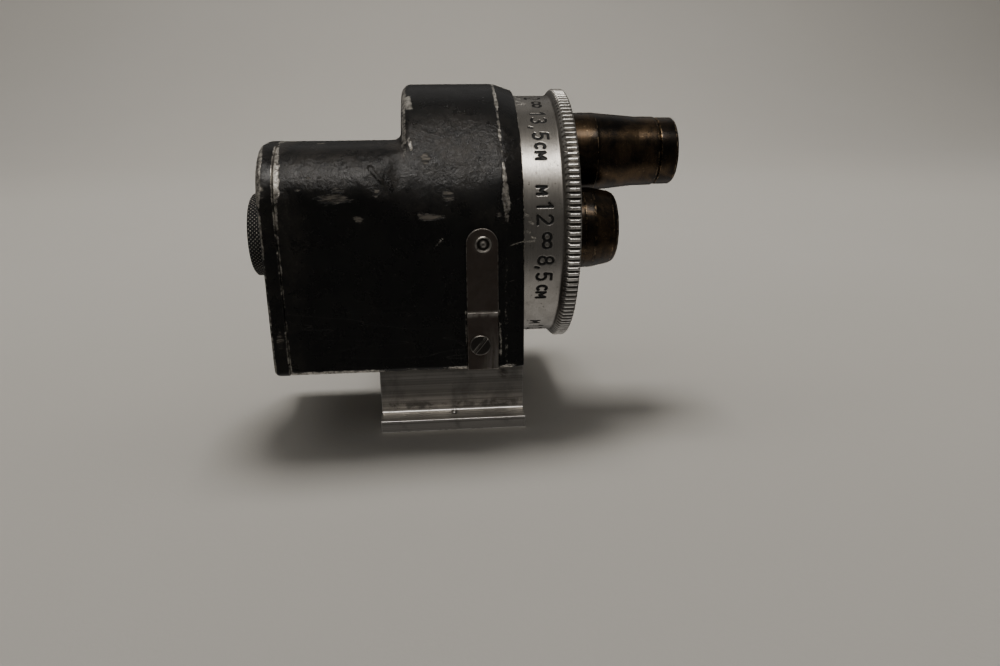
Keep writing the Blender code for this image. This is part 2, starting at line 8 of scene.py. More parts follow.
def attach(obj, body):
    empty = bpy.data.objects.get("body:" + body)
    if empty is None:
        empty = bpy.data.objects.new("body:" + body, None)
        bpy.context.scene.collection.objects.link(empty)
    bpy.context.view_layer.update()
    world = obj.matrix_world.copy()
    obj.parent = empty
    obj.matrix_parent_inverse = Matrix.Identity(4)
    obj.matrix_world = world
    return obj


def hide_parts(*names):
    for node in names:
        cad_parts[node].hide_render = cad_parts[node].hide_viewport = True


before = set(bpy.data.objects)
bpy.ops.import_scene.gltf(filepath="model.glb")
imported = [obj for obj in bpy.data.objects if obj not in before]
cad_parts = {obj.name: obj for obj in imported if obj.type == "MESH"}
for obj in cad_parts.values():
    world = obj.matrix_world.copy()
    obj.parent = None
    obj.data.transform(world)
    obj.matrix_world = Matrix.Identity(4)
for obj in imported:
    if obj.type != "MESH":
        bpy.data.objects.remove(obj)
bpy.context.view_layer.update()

MM = 0.001
AX_Z = 28.0                    # height of the optical axis and of the turret axis
TUR_Y = 10.8                   # turret axis, sideways
LENS_R = TUR_Y                 # the objective in use then sits on the optical axis
LENS_STEP = 72.0               # degrees between objectives
EYE = (0.0, AX_Z)              # (y, z) of the optical axis
TUR = (TUR_Y, AX_Z)

COARSE = 1.0     # factor on the grid steps of the larger pieces


# ======================================================================
# materials
# ======================================================================
class Value:
    """An output in a shader graph; arithmetic on it adds Math nodes."""
    def __init__(self, graph, socket):
        self.graph = graph
        self.socket = socket

    def __add__(self, other):
        return self.graph.math("ADD", self, other)

    def __radd__(self, other):
        return self.graph.math("ADD", other, self)

    def __sub__(self, other):
        return self.graph.math("SUBTRACT", self, other)

    def __rsub__(self, other):
        return self.graph.math("SUBTRACT", other, self)

    def __mul__(self, other):
        return self.graph.math("MULTIPLY", self, other)

    def linear(self, low, high, to=(0.0, 1.0), **settings):
        inputs = {0: self, 1: low, 2: high, 3: to[0], 4: to[1]}
        return self.graph.node("ShaderNodeMapRange", inputs, **settings)

    def smooth(self, low, high, to=(0.0, 1.0)):
        return self.linear(low, high, to, interpolation_type="SMOOTHSTEP")


class Graph:
    def __init__(self, tree):
        self.tree = tree

    def put(self, socket, value):
        if isinstance(value, Value):
            self.tree.links.new(value.socket, socket)
        elif isinstance(value, tuple) and len(value) == 3 and len(socket.default_value) == 4:
            socket.default_value = (*value, 1.0)
        else:
            socket.default_value = value

    def node(self, kind, inputs, output=0, **settings):
        node = self.tree.nodes.new(kind)
        for key, value in settings.items():
            setattr(node, key, value)
        for key, value in inputs.items():
            self.put(node.inputs[key], value)
        return Value(self, node.outputs[output])

    def math(self, operation, a, b=0.0):
        return self.node("ShaderNodeMath", {0: a, 1: b}, operation=operation)

    def maximum(self, a, b):
        return self.math("MAXIMUM", a, b)


class Material(Graph):
    def __init__(self, name):
        self.mat = bpy.data.materials.new(name)
        self.mat.use_nodes = True
        super().__init__(self.mat.node_tree)
        self.coord = self.node("ShaderNodeTexCoord", {}, output="Object")

    def set(self, key, value):
        self.put(self.tree.nodes["Principled BSDF"].inputs[key], value)

    def attr(self, name):
        return self.node("ShaderNodeAttribute", {}, output="Fac", attribute_name=name)

    def noise(self, scale, detail=4.0, rough=0.55, distort=0.0, vector=None):
        inputs = {"Vector": vector or self.coord, "Scale": scale, "Detail": detail,
                  "Roughness": rough, "Distortion": distort}
        return self.node("ShaderNodeTexNoise", inputs, output="Fac")

    def mix(self, factor, under, over):
        inputs = {0: factor, 6: under, 7: over}
        return self.node("ShaderNodeMix", inputs, output=2, data_type="RGBA")

    def mix_value(self, factor, under, over):
        inputs = {0: factor, 2: under, 3: over}
        return self.node("ShaderNodeMix", inputs, data_type="FLOAT")

    def vector(self, x, y, z):
        return self.node("ShaderNodeCombineXYZ", {0: x, 1: y, 2: z})

    def stretch(self, x, y, z, turn=(0.0, 0.0, 0.0)):
        """Object coordinates turned (radians) and scaled."""
        inputs = {"Vector": self.coord, "Rotation": turn, "Scale": (x, y, z)}
        return self.node("ShaderNodeMapping", inputs)

    def bump(self, height, strength, distance):
        inputs = {"Strength": strength, "Distance": distance, "Height": height}
        self.set("Normal", self.node("ShaderNodeBump", inputs))

    def scratches(self, scale, width, gate, turn, squash):
        """Thin contour lines of one noise, kept where another noise is above the gate."""
        contour = self.noise(scale, detail=1.0, rough=0.4, vector=self.stretch(*squash, turn=turn))
        line = self.math("ABSOLUTE", contour - 0.5).smooth(width, 0.0)
        other_turn = (turn[1] + 1.3, turn[0], 0.4)
        keep = self.noise(scale * 0.45, detail=2.0, rough=0.5,
                          vector=self.stretch(1, 1, 1, turn=other_turn))
        return line * keep.smooth(gate, gate + 0.05)


def scaled(colour, factor):
    return tuple(c * factor for c in colour)


def enamel():
    """Black enamel over metal; the vertex masks say where it is rubbed, chipped or bare."""
    m = Material("black_enamel")
    scuffed = m.attr("scuff")
    fine = m.noise(2600, detail=5, rough=0.7)
    mid = m.noise(620, detail=5, rough=0.62, distort=0.3)
    # the masks are made ragged by noise before the threshold
    ragged = m.noise(1400, detail=6, rough=0.75, distort=0.5)
    bare = (m.attr("bare") + (mid - 0.5) * 1.5 + (ragged - 0.5) * 0.9).smooth(0.42, 0.68)
    flakes = m.noise(1.0, detail=6, rough=0.72, distort=0.5,
                     vector=m.stretch(420, 700, 1500, turn=(0.0, 0.75, 0.0)))
    chip = (m.attr("chip") * 1.0 + (flakes - 0.5) * 3.2).smooth(0.50, 0.85)
    mottle_fine = m.noise(1.0, detail=6, rough=0.74, distort=0.7,
                          vector=m.stretch(900, 900, 700, turn=(0.3, 0.6, 0.9)))
    mottle = m.noise(210, detail=6, rough=0.68, distort=0.9) * 0.55 + mottle_fine * 0.45
    rub = scuffed * mottle.smooth(0.38, 0.62)
    grit = scuffed * fine.smooth(0.52, 0.72)
    lines_1 = m.scratches(60, width=0.0040, gate=0.53, turn=(0.4, 0.9, 0.2), squash=(1, 1, 9))
    lines_2 = m.scratches(80, width=0.0045, gate=0.55, turn=(1.4, 0.3, 1.1), squash=(8, 1, 1))
    lines_3 = m.scratches(45, width=0.0030, gate=0.52, turn=(2.2, 1.9, 0.7), squash=(1, 10, 2))
    lines = m.maximum(lines_1, m.maximum(lines_2, lines_3))
    index = (m.attr("index") + (fine - 0.5) * 0.8).smooth(0.40, 0.62)

    # colour: paint, wear in the paint, chips, bare metal, index mark
    cloud = m.noise(130, detail=3, rough=0.5)
    colour = m.mix(cloud.smooth(0.35, 0.7), (0.0040, 0.0040, 0.0043), (0.0070, 0.0068, 0.0066))
    colour = m.mix(rub * 0.85, colour, (0.070, 0.059, 0.048))
    colour = m.mix(grit * 0.45, colour, (0.15, 0.13, 0.11))
    colour = m.mix(lines * 0.22, colour, (0.16, 0.15, 0.14))
    tarnish = m.noise(1500, detail=5, rough=0.7).smooth(0.35, 0.62)
    metal = m.mix(tarnish, (0.17, 0.155, 0.135), (0.74, 0.70, 0.63))
    hatch = m.noise(1.0, detail=4, rough=0.65, distort=0.3,
                    vector=m.stretch(380, 800, 2600, turn=(0.0, 0.75, 0.0)))
    chipped = m.mix(hatch.smooth(0.42, 0.60), (0.026, 0.023, 0.020), (0.25, 0.225, 0.19))
    colour = m.mix(chip, colour, chipped)
    colour = m.mix(bare, colour, metal)
    m.set("Base Color", m.mix(index, colour, (0.36, 0.34, 0.30)))
    m.set("Metallic", (1.0 - index) * m.maximum(bare * 0.62, chip * 0.25))

    rough = m.noise(330, detail=5, rough=0.65).linear(0.3, 0.7, to=(0.22, 0.35))
    for mask, worn_rough in ((rub, 0.37), (bare, 0.31), (chip, 0.52)):
        rough = m.mix_value(mask, rough, worn_rough)
    m.set("Roughness", rough)
    m.set("Specular IOR Level", 0.5)

    # relief: orange peel, sunk bare spots and scratches, wrinkles in the scuffs, ridge
    height = m.noise(420, detail=3, rough=0.5) * 0.55 + fine * 0.12
    height = height - m.maximum(bare, chip) * 0.30 - lines * 0.16
    wrinkle_wide = m.noise(1.0, detail=5, rough=0.66, distort=0.35,
                           vector=m.stretch(520, 520, 380, turn=(0.5, 0.3, 0.8)))
    wrinkle = wrinkle_wide * 0.6 + m.noise(1150, detail=5, rough=0.7, distort=0.4) * 0.4
    height = height + scuffed.smooth(0.10, 0.90) * (wrinkle - 0.5) * 4.6
    height = height + scuffed * (mottle - 0.5) * 1.6
    height = height + m.attr("ridge") * (1.0 + mid)
    m.bump(height, strength=0.72, distance=0.00012)
    return m.mat


def turned_metal(name, light, dark, rough, streak, ink=False, bright=None, specks=0.0, patina=0.35):
    """Metal with fine lines round its axis, grime in corners and rubbed edges."""
    m = Material(name)
    u, v = m.attr("turn_u"), m.attr("turn_v")
    line = m.noise(1.0, detail=4, rough=0.6, vector=m.vector(u * 0.10, v * 22.0, 0.0))
    hair = m.noise(1.0, detail=3, rough=0.7, vector=m.vector(u * 0.35, v * 60.0, 3.0))
    cloud = m.noise(240, detail=5, rough=0.65, distort=0.4)
    colour = m.mix(line.smooth(0.3, 0.7, to=(0.0, streak)), light, dark)
    colour = m.mix(cloud.smooth(0.42, 0.68) * patina, colour, dark)
    grime_and_shade = m.attr("dirt") * cloud.smooth(0.25, 0.55)
    if specks:
        pits = m.maximum(m.noise(2100, detail=3, rough=0.75).smooth(0.63, 0.69),
                         m.noise(900, detail=4, rough=0.75).smooth(0.665, 0.70))
        grime_and_shade = m.maximum(grime_and_shade, pits * specks)
    colour = m.mix(grime_and_shade * 0.9, colour, (0.02, 0.018, 0.015))
    edge = m.attr("wear") * m.noise(900, detail=4, rough=0.7).smooth(0.30, 0.55)
    colour = m.mix(edge * 0.8, colour, bright or tuple(min(1.0, c * 1.3) for c in light))
    roughness = hair.linear(0.3, 0.7, to=(rough - 0.06, rough + 0.07)) + (cloud - 0.5) * 0.22
    roughness = m.mix_value(grime_and_shade, roughness, 0.65)
    lines = m.maximum(
        m.scratches(140, width=0.0035, gate=0.56, turn=(0.7, 0.2, 1.2), squash=(1, 1, 1.6)),
        m.scratches(75, width=0.0022, gate=0.57, turn=(1.9, 1.1, 0.1), squash=(1.8, 1, 1)))
    metallic = 1.0
    if ink:      # engraved figures filled with black, and bright ticks
        ragged = (m.noise(3200, detail=3, rough=0.6) - 0.5) * 0.07
        black = (m.attr("ink") + ragged).smooth(0.075, 0.0)
        worn = m.noise(520, detail=4, rough=0.7).smooth(0.66, 0.74)
        black = black * (1.0 - worn * 0.7)
        ragged = (m.noise(2400, detail=3, rough=0.6) - 0.5) * 0.10
        tick = (m.attr("mark") + ragged).smooth(0.03, -0.03)
        colour = m.mix(tick, colour, (0.50, 0.475, 0.43))
        colour = m.mix(black, colour, (0.012, 0.011, 0.010))
        metallic = (1.0 - black) * (1.0 - tick * 0.75)
        roughness = m.mix_value(black, roughness, 0.55)
    m.set("Base Color", colour)
    m.set("Metallic", metallic)
    m.set("Roughness", m.maximum(roughness, 0.08))
    height = line * 0.30 + hair * 0.18 - lines * 0.35 - grime_and_shade * 0.25
    m.bump(height, strength=0.35, distance=0.00004)
    return m.mat


def lacquer():
    """Thin black lacquer over brass: bronze where it is thin, bright lines at the edges."""
    m = Material("lacquered_brass")
    black, bronze, brass = (0.017, 0.0145, 0.0125), (0.17, 0.108, 0.056), (0.62, 0.44, 0.26)
    u, v = m.attr("turn_u"), m.attr("turn_v")
    line = m.noise(1.0, detail=4, rough=0.6, vector=m.vector(u * 0.16, v * 9.0, 1.0))
    cloud = m.noise(210, detail=5, rough=0.66, distort=0.5)
    thin = cloud.smooth(0.34, 0.72) * line.smooth(0.20, 0.80, to=(0.45, 1.0))
    colour = m.mix(thin, black, bronze)
    spots = m.noise(1300, detail=4, rough=0.75)
    edge = (m.attr("wear") + (spots - 0.5) * 1.5).smooth(0.91, 1.12)
    fleck = m.noise(1900, detail=3, rough=0.7).smooth(0.665, 0.71) * cloud.smooth(0.45, 0.6)
    show = m.maximum(edge, fleck * 0.7)
    colour = m.mix(show * 0.8, colour, brass)
    m.set("Base Color", m.mix(m.attr("dirt") * 0.6, colour, (0.008, 0.007, 0.006)))
    m.set("Metallic", 0.93)
    rough = m.noise(420, detail=4, rough=0.6).linear(0.3, 0.7, to=(0.22, 0.34))
    m.set("Roughness", m.mix_value(show, rough, 0.28))
    lines = m.scratches(120, width=0.0035, gate=0.55, turn=(0.2, 1.2, 0.5), squash=(1, 1.5, 1))
    height = line * 0.16 + m.noise(700, detail=3, rough=0.5) * 0.22 - lines * 0.25
    m.bump(height, strength=0.32, distance=0.00005)
    m.set("Coat Weight", 0.12)
    m.set("Coat Roughness", 0.18)
    return m.mat


def brushed_metal(name, light, dark, rough, along):
    """Flat brushed metal with dull patches and bright edges; along is the grain's noise scale."""
    m = Material(name)
    grain = m.noise(1.0, detail=5, rough=0.7, vector=m.stretch(*along))
    finer = m.stretch(along[0] * 2.2, along[1] * 3.1, along[2] * 3.1)
    fine_grain = m.noise(1.0, detail=2, rough=0.5, vector=finer)
    cloud = m.noise(190, detail=5, rough=0.65, distort=0.5)
    colour = m.mix(grain.smooth(0.32, 0.68), dark, light)
    colour = m.mix(cloud.smooth(0.48, 0.72) * 0.5, colour, scaled(dark, 0.45))
    dirty = m.noise(330, detail=5, rough=0.7, distort=0.5).smooth(0.42, 0.58)
    # dark grime, and on the foot also painted shade along its top where it meets the housing
    dirt = m.attr("dirt") * dirty
    colour = m.mix(dirt * 0.9, colour, (0.012, 0.010, 0.008))
    pits = m.noise(1500, detail=4, rough=0.75).smooth(0.66, 0.72) * 0.5
    colour = m.mix(pits, colour, (0.03, 0.026, 0.022))
    # rubbed bright edges, and on the foot also a painted highlight in the fillet above the plate
    edge = m.attr("wear") * m.noise(800, detail=3, rough=0.6).smooth(0.28, 0.5)
    m.set("Base Color", m.mix(edge * 0.85, colour, (0.86, 0.84, 0.80)))
    m.set("Metallic", m.mix_value(dirt, 1.0, 0.2))
    roughness = fine_grain.linear(0.3, 0.7, to=(rough - 0.07, rough + 0.08))
    roughness = m.mix_value(edge, roughness, 0.25)
    m.set("Roughness", m.mix_value(dirt, roughness, 0.7))
    lines = m.scratches(110, width=0.003, gate=0.53, turn=(0.9, 0.1, 1.7), squash=(1, 1, 1.4))
    height = grain * 0.5 + fine_grain * 0.3 - lines * 0.5
    m.bump(height, strength=0.45, distance=0.00005)
    return m.mat


def spring_steel():
    """Brown spring strip, brighter where it is rubbed."""
    m = Material("spring_strip")
    brown, rubbed = (0.150, 0.122, 0.105), (0.50, 0.47, 0.43)
    grain = m.noise(1.0, detail=4, rough=0.6, vector=m.stretch(260, 260, 40))
    cloud = m.noise(260, detail=5, rough=0.65, distort=0.4)
    colour = m.mix(cloud.smooth(0.35, 0.7), brown, scaled(brown, 0.72))
    streaks = m.noise(1.0, detail=5, rough=0.7, vector=m.stretch(900, 900, 120))
    rub = m.attr("rub") * streaks.smooth(0.30, 0.62)
    colour = m.mix(rub * 0.8, colour, rubbed)
    edge = m.attr("wear") * m.noise(1400, detail=3, rough=0.6).smooth(0.36, 0.58)
    colour = m.mix(edge * 0.7, colour, (0.62, 0.58, 0.53))
    spots = m.noise(2300, detail=3, rough=0.7).smooth(0.69, 0.73)
    grime_and_shade = m.maximum(spots * 0.7, m.attr("dirt") * 0.85)
    m.set("Base Color", m.mix(grime_and_shade, colour, (0.010, 0.009, 0.008)))
    m.set("Metallic", 0.85)
    m.set("Roughness", m.mix_value(rub, cloud.linear(0.3, 0.7, to=(0.36, 0.50)), 0.30))
    height = grain * 0.5 + m.noise(1100, detail=3, rough=0.6) * 0.3
    m.bump(height, strength=0.22, distance=0.00004)
    return m.mat


def black_finish():
    """Matt black on turned metal, bright where crests are rubbed."""
    m = Material("black_finish")
    black = (0.010, 0.0098, 0.0095)
    u, v = m.attr("turn_u"), m.attr("turn_v")
    line = m.noise(1.0, detail=3, rough=0.6, vector=m.vector(u * 0.2, v * 14.0, 0.0))
    cloud = m.noise(300, detail=4, rough=0.65, distort=0.3)
    ragged = (m.noise(1500, detail=4, rough=0.7) - 0.5) * 0.9
    edge = (m.attr("wear") + ragged).smooth(0.45, 0.74)
    colour = m.mix(cloud.smooth(0.4, 0.7), black, scaled(black, 2.1))
    colour = m.mix(edge * 0.9, colour, (0.60, 0.56, 0.49))
    m.set("Base Color", m.mix(m.attr("dirt") * 0.7, colour, (0.004, 0.004, 0.004)))
    m.set("Metallic", edge * 0.9)
    rough = cloud.linear(0.3, 0.7, to=(0.42 - 0.07, 0.42 + 0.08))
    m.set("Roughness", m.mix_value(edge, rough, 0.32))
    height = line * 0.4 + m.noise(1600, detail=3, rough=0.6) * 0.3
    m.bump(height, strength=0.25, distance=0.00004)
    return m.mat


def glass(name, tint, coat):
    """Clear glass, coat-coloured at grazing angles, with a little dust."""
    m = Material(name)
    facing = m.node("ShaderNodeLayerWeight", {"Blend": 0.35}, output="Facing")
    dust = m.noise(2600, detail=4, rough=0.8).smooth(0.66, 0.74)
    haze = m.noise(300, detail=4, rough=0.6).linear(0.3, 0.7, to=(0.005, 0.03))
    m.set("Base Color", m.mix(facing * 0.45, tint, coat))
    m.set("Roughness", dust * 0.25 + haze)
    m.set("Transmission Weight", m.mix_value(dust, 0.96, 0.75))
    m.set("IOR", 1.52)
    return m.mat


# keyed by slot name; "alloy" and "prism" go only on pieces that keep their CAD shape
MATERIALS = {
    "enamel": enamel(),
    "satin_nickel": turned_metal(
        "satin_nickel", light=(0.60, 0.565, 0.515), dark=(0.30, 0.28, 0.25), rough=0.29,
        streak=0.45, ink=True, bright=(0.97, 0.94, 0.88), specks=0.85, patina=0.6),
    "steel": turned_metal(
        "turned_steel", light=(0.52, 0.50, 0.47), dark=(0.26, 0.25, 0.235), rough=0.34,
        streak=0.5, specks=0.4),
    "dark_steel": turned_metal(
        "blackened_steel", light=(0.105, 0.097, 0.087), dark=(0.040, 0.037, 0.034), rough=0.36,
        streak=0.5, bright=(0.70, 0.655, 0.59)),
    "brushed_foot": brushed_metal(
        "brushed_foot", light=(0.62, 0.59, 0.55), dark=(0.35, 0.33, 0.30), rough=0.42,
        along=(9, 3200, 3200)),
    "spring_steel": spring_steel(),
    "lacquered_brass": lacquer(),
    "black_anodised": black_finish(),
    "brass": turned_metal(
        "plain_brass", light=(0.62, 0.45, 0.22), dark=(0.33, 0.22, 0.10), rough=0.36, streak=0.4),
    "alloy": brushed_metal(
        "machined_alloy", light=(0.50, 0.50, 0.51), dark=(0.28, 0.28, 0.29), rough=0.45,
        along=(300, 300, 40)),
    "optical_glass": glass("lens_glass", tint=(0.93, 0.96, 0.98), coat=(0.35, 0.25, 0.75)),
    "prism": glass("prism_glass", tint=(0.95, 0.97, 0.97), coat=(0.80, 0.86, 0.90)),
}


# ======================================================================
# meshes
# ======================================================================
def build(name, verts, faces, body, cad, slot, attrs, sharp=None):
    """Makes an object that rides on a body and replaces a CAD piece; sharp is in degrees."""
    mesh = bpy.data.meshes.new(name)
    verts = np.asarray(verts, float) * MM
    if isinstance(faces, np.ndarray):
        count, corners = faces.shape
        mesh.vertices.add(len(verts))
        mesh.vertices.foreach_set("co", verts.astype(np.float32).ravel())
        mesh.loops.add(count * corners)
        mesh.loops.foreach_set("vertex_index", faces.astype(np.int32).ravel())
        mesh.polygons.add(count)
        starts = np.arange(0, count * corners, corners, dtype=np.int32)
        mesh.polygons.foreach_set("loop_start", starts)
        mesh.polygons.foreach_set("loop_total", np.full(count, corners, np.int32))
        mesh.update(calc_edges=True)
        mesh.validate()
    else:
        mesh.from_pydata([tuple(v) for v in verts], [], faces)
        mesh.update()
    for key, values in attrs.items():
        attribute = mesh.attributes.new(key, "FLOAT", "POINT")
        attribute.data.foreach_set("value", np.asarray(values, np.float32).ravel())
    mesh.shade_smooth()
    if sharp:
        mesh.set_sharp_from_angle(angle=radians(sharp))
    ob = bpy.data.objects.new(name, mesh)
    bpy.context.scene.collection.objects.link(ob)
    mesh.materials.append(MATERIALS[slot])
    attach(ob, body)
    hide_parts(cad)
    face_out(mesh)


def face_out(mesh):
    bm = bmesh.new()
    bm.from_mesh(mesh)
    if bm.calc_volume(signed=True) < 0:
        bmesh.ops.reverse_faces(bm, faces=bm.faces)
        bm.to_mesh(mesh)
    bm.free()


def signed_area(points):
    a, b = np.transpose(points)
    return np.sum(a * np.roll(b, -1) - np.roll(a, -1) * b)


def soften(loop, radius, cuts=3):
    """Rounds the corners of a closed loop; also says how convex (+) or hollow (-) each was."""
    points = [np.array(p, float) for p in loop]
    turn = 1.0 if signed_area(points) > 0 else -1.0
    out, bends = [], []
    for i, p in enumerate(points):
        da, db = points[i - 1] - p, points[(i + 1) % len(points)] - p
        len_a, len_b = np.linalg.norm(da), np.linalg.norm(db)
        plain = radius <= 0 or len_a < 1e-9 or len_b < 1e-9 or p[1] < 1e-6
        if not plain:
            da, db = da / len_a, db / len_b
            angle = np.arccos(np.clip(np.dot(da, db), -1, 1))
            plain = angle > radians(176)
        if plain:
            out.append(p)
            bends.append(0.0)
            continue
        bend = turn * (-da[0] * db[1] + da[1] * db[0])
        reach = min(radius / max(tan(angle / 2), 1e-3), 0.45 * len_a, 0.45 * len_b)
        for k in range(cuts + 1):
            s = k / cuts
            out.append((1 - s) ** 2 * (p + da * reach) + 2 * s * (1 - s) * p
                       + s * s * (p + db * reach))
            bends.append(bend)
    return np.array(out), np.array(bends)


def refine(points, bends, step):
    """Splits long edges, and masks points near convex (wear) and hollow (dirt) corners."""
    out, bend = [], []
    for i, a in enumerate(points):
        b = points[(i + 1) % len(points)]
        parts = 1
        if min(a[1], b[1]) > 1e-6:
            parts = max(1, int(np.ceil(np.linalg.norm(b - a) / step)))
        for j in range(parts):
            out.append(a + (b - a) * j / parts)
            bend.append(bends[i] if j == 0 else 0.0)
    out, bend = np.array(out), np.array(bend)
    masks = []
    for sign, reach in ((1, 0.10), (-1, 0.22)):
        corners = out[bend * sign > 0.15]
        mask = np.zeros(len(out))
        if len(corners):
            distance = np.linalg.norm(out[:, None] - corners[None], axis=2).min(1)
            mask = np.exp(-(distance / reach) ** 2)
        masks.append(mask)
    return out, *masks


def lathe(name, profile, body, cad, slot, at, axis="X", seg=128, rad=0.1, step=0.35, sharp=40.0):
    """Turned piece; profile is a closed loop of (along the axis, radius), at is the axis place."""
    points, wear, dirt = refine(*soften(profile, rad), step)
    if signed_area(points) < 0:
        points, wear, dirt = points[::-1], wear[::-1], dirt[::-1]
    theta = 2 * pi * np.arange(seg) / seg
    attrs = {"wear": [], "dirt": [], "turn_u": [], "turn_v": []}
    verts, rings = [], []
    for (along, radius), worn, dirty in zip(points, wear, dirt):
        pole = radius < 1e-6
        rings.append((pole, len(verts)))
        turn = np.zeros(1) if pole else theta
        c, s = radius * np.cos(turn), radius * np.sin(turn)
        level = np.full(len(turn), along)
        place = {"X": (level, at[0] + c, at[1] + s),
                 "Y": (at[0] + s, level, at[1] + c),
                 "Z": (at[0] + c, at[1] + s, level)}[axis]
        verts.extend(np.stack(place, 1))
        attrs["wear"] += [worn] * len(turn)
        attrs["dirt"] += [dirty] * len(turn)
        attrs["turn_u"] += list(turn * radius)
        attrs["turn_v"] += [along] * len(turn)
    faces = []
    for i, (pole_a, a) in enumerate(rings):
        pole_b, b = rings[(i + 1) % len(rings)]
        if pole_a and pole_b:
            continue
        for k in range(seg):
            k1 = (k + 1) % seg
            if pole_a:
                faces.append((a, b + k1, b + k))
            elif pole_b:
                faces.append((a + k, a + k1, b))
            else:
                faces.append((a + k, a + k1, b + k1, b + k))
    build(name, verts, faces, body, cad, slot, attrs, sharp)


def ring_quads(rows, columns):
    """Faces of a grid of vertices that closes on itself both ways."""
    a = np.arange(rows * columns).reshape(rows, columns)
    b = np.roll(a, -1, 0)
    return np.stack([a, np.roll(a, -1, 1), np.roll(b, -1, 1), b], -1).reshape(-1, 4)


def run_length(points):
    steps = np.linalg.norm(np.diff(points, axis=0), axis=1)
    return np.concatenate([[0], np.cumsum(steps)])


def surface(field, grids, probe=0.01, passes=2):
    """Quads round the region field < 0: one vertex per crossed cell, pulled on to field = 0."""
    xs, ys, zs = grids
    y, z = np.meshgrid(ys, zs, indexing="ij")
    values = np.empty((len(xs), len(ys), len(zs)), np.float32)
    for i, x in enumerate(xs):
        values[i] = field(np.full(y.shape, x), y, z)
    inside = values < 0
    shape = np.array(values.shape) - 1
    filled = np.zeros(shape, np.int8)
    for i, j, k in np.ndindex(2, 2, 2):
        filled += inside[i:shape[0] + i, j:shape[1] + j, k:shape[2] + k]
    active = (filled > 0) & (filled < 8)
    count = active.sum()
    cell_id = -np.ones(shape, np.int64)
    cell_id[active] = np.arange(count)
    total, hits = np.zeros((count, 3)), np.zeros(count)
    quads = []
    for axis in range(3):
        low, high = [slice(None)] * 3, [slice(None)] * 3
        low[axis], high[axis] = slice(0, -1), slice(1, None)
        start, end = values[tuple(low)], values[tuple(high)]
        edges = np.argwhere((start < 0) != (end < 0))
        va, vb = start[tuple(edges.T)], end[tuple(edges.T)]
        t = va / (va - vb)
        crossing = np.stack([grids[k][edges[:, k]] for k in range(3)], 1).astype(float)
        line = grids[axis]
        first = line[edges[:, axis]]
        crossing[:, axis] = first + t * (line[edges[:, axis] + 1] - first)
        cells = []
        for shift_b, shift_c in ((-1, -1), (0, -1), (0, 0), (-1, 0)):
            cell = edges.copy()
            cell[:, (axis + 1) % 3] += shift_b
            cell[:, (axis + 2) % 3] += shift_c
            valid = np.all((cell >= 0) & (cell < shape), axis=1)
            ids = np.full(len(edges), -1)
            ids[valid] = cell_id[tuple(cell[valid].T)]
            found = ids >= 0
            np.add.at(total, ids[found], crossing[found])
            np.add.at(hits, ids[found], 1)
            cells.append(ids)
        quad = np.stack(cells, 1)
        whole = np.all(quad >= 0, axis=1)
        flip = va >= 0
        quad[flip] = quad[flip][:, ::-1]
        quads.append(quad[whole])
    points = total / hits[:, None]
    e = probe
    for _ in range(passes):
        x, y, z = points.T
        value = field(x, y, z)
        slope = np.stack([field(x + e, y, z) - field(x - e, y, z),
                          field(x, y + e, z) - field(x, y - e, z),
                          field(x, y, z + e) - field(x, y, z - e)], 1) / (2 * e)
        move = -(value / np.maximum((slope ** 2).sum(1), 0.05))[:, None] * slope
        length = np.linalg.norm(move, axis=1)
        move *= np.minimum(1.0, 0.12 / np.maximum(length, 1e-9))[:, None]
        points = points + move
    return points, np.concatenate(quads)


def axis_grid(low, high, step, fine=()):
    """Grid line places, closer together inside each (from, to, step) band."""
    lines, x = [low], low
    while x < high - 1e-9:
        s = step
        for a, b, fine_step in fine:
            if a <= x < b:
                s = min(s, fine_step)
            elif x < a < x + s:
                s = min(s, max(a - x, 0.3 * fine_step))
        x = min(x + s, high)
        lines.append(x)
    return np.array(lines)


def split(axis, x, y, z):
    """(along the axis, and the two coordinates across it)"""
    return {"X": (x, y, z), "Y": (y, x, z), "Z": (z, x, y)}[axis]


def field_piece(name, field, grids, body, cad, slot, h=0.12, axis=None, at=(0.0, 0.0), marks=None):
    """Piece from a distance field, its wear and dirt taken from the curvature over h."""
    points, quads = surface(field, grids)
    x, y, z = points.T
    curve = (field(x + h, y, z) + field(x - h, y, z) + field(x, y + h, z)
             + field(x, y - h, z) + field(x, y, z + h) + field(x, y, z - h)) / (6 * h)
    u, v = x, z
    if axis:
        along, p, q = split(axis, x, y, z)
        radius = np.hypot(p - at[0], q - at[1])
        u, v = np.arctan2(q - at[1], p - at[0]) * radius, radius + along
    attrs = {"wear": np.clip(curve * 6.0, 0, 1), "dirt": np.clip(-curve * 6.0, 0, 1),
             "turn_u": u, "turn_v": v}
    if marks:
        attrs.update(marks(points))
    build(name, points, quads, body, cad, slot, attrs)


# ---------------------------------------------------------------- distance fields
def meet(a, b, r):
    """Intersection with the edge rounded to radius r."""
    u, v = a + r, b + r
    return np.minimum(np.maximum(u, v), 0) + np.hypot(np.maximum(u, 0), np.maximum(v, 0)) - r


def join(a, b, r):
    """Union with the inner corner filled to radius r."""
    fillet = np.hypot(np.maximum(r - a, 0), np.maximum(r - b, 0))
    return np.maximum(r, np.minimum(a, b)) - fillet


def smooth_max(a, b, k):
    h = np.maximum(k - np.abs(a - b), 0) / k
    return np.maximum(a, b) + h * h * k * 0.25


def cut(body, tool, soft=0.0):
    """Takes the tool out of the body, with its lip softened."""
    return smooth_max(body, -tool, soft) if soft else np.maximum(body, -tool)


def rect(u, v, centre, half, r):
    return meet(np.abs(u - centre[0]) - half[0], np.abs(v - centre[1]) - half[1], r)


def section(y, z, centre, half, r_top, r_low):
    """Rectangle across X with one corner radius above its centre and another below."""
    return rect(y, z, centre, half, np.where(z > centre[1], r_top, r_low))


def from_turret(y, z):
    return np.hypot(y - TUR_Y, z - AX_Z)


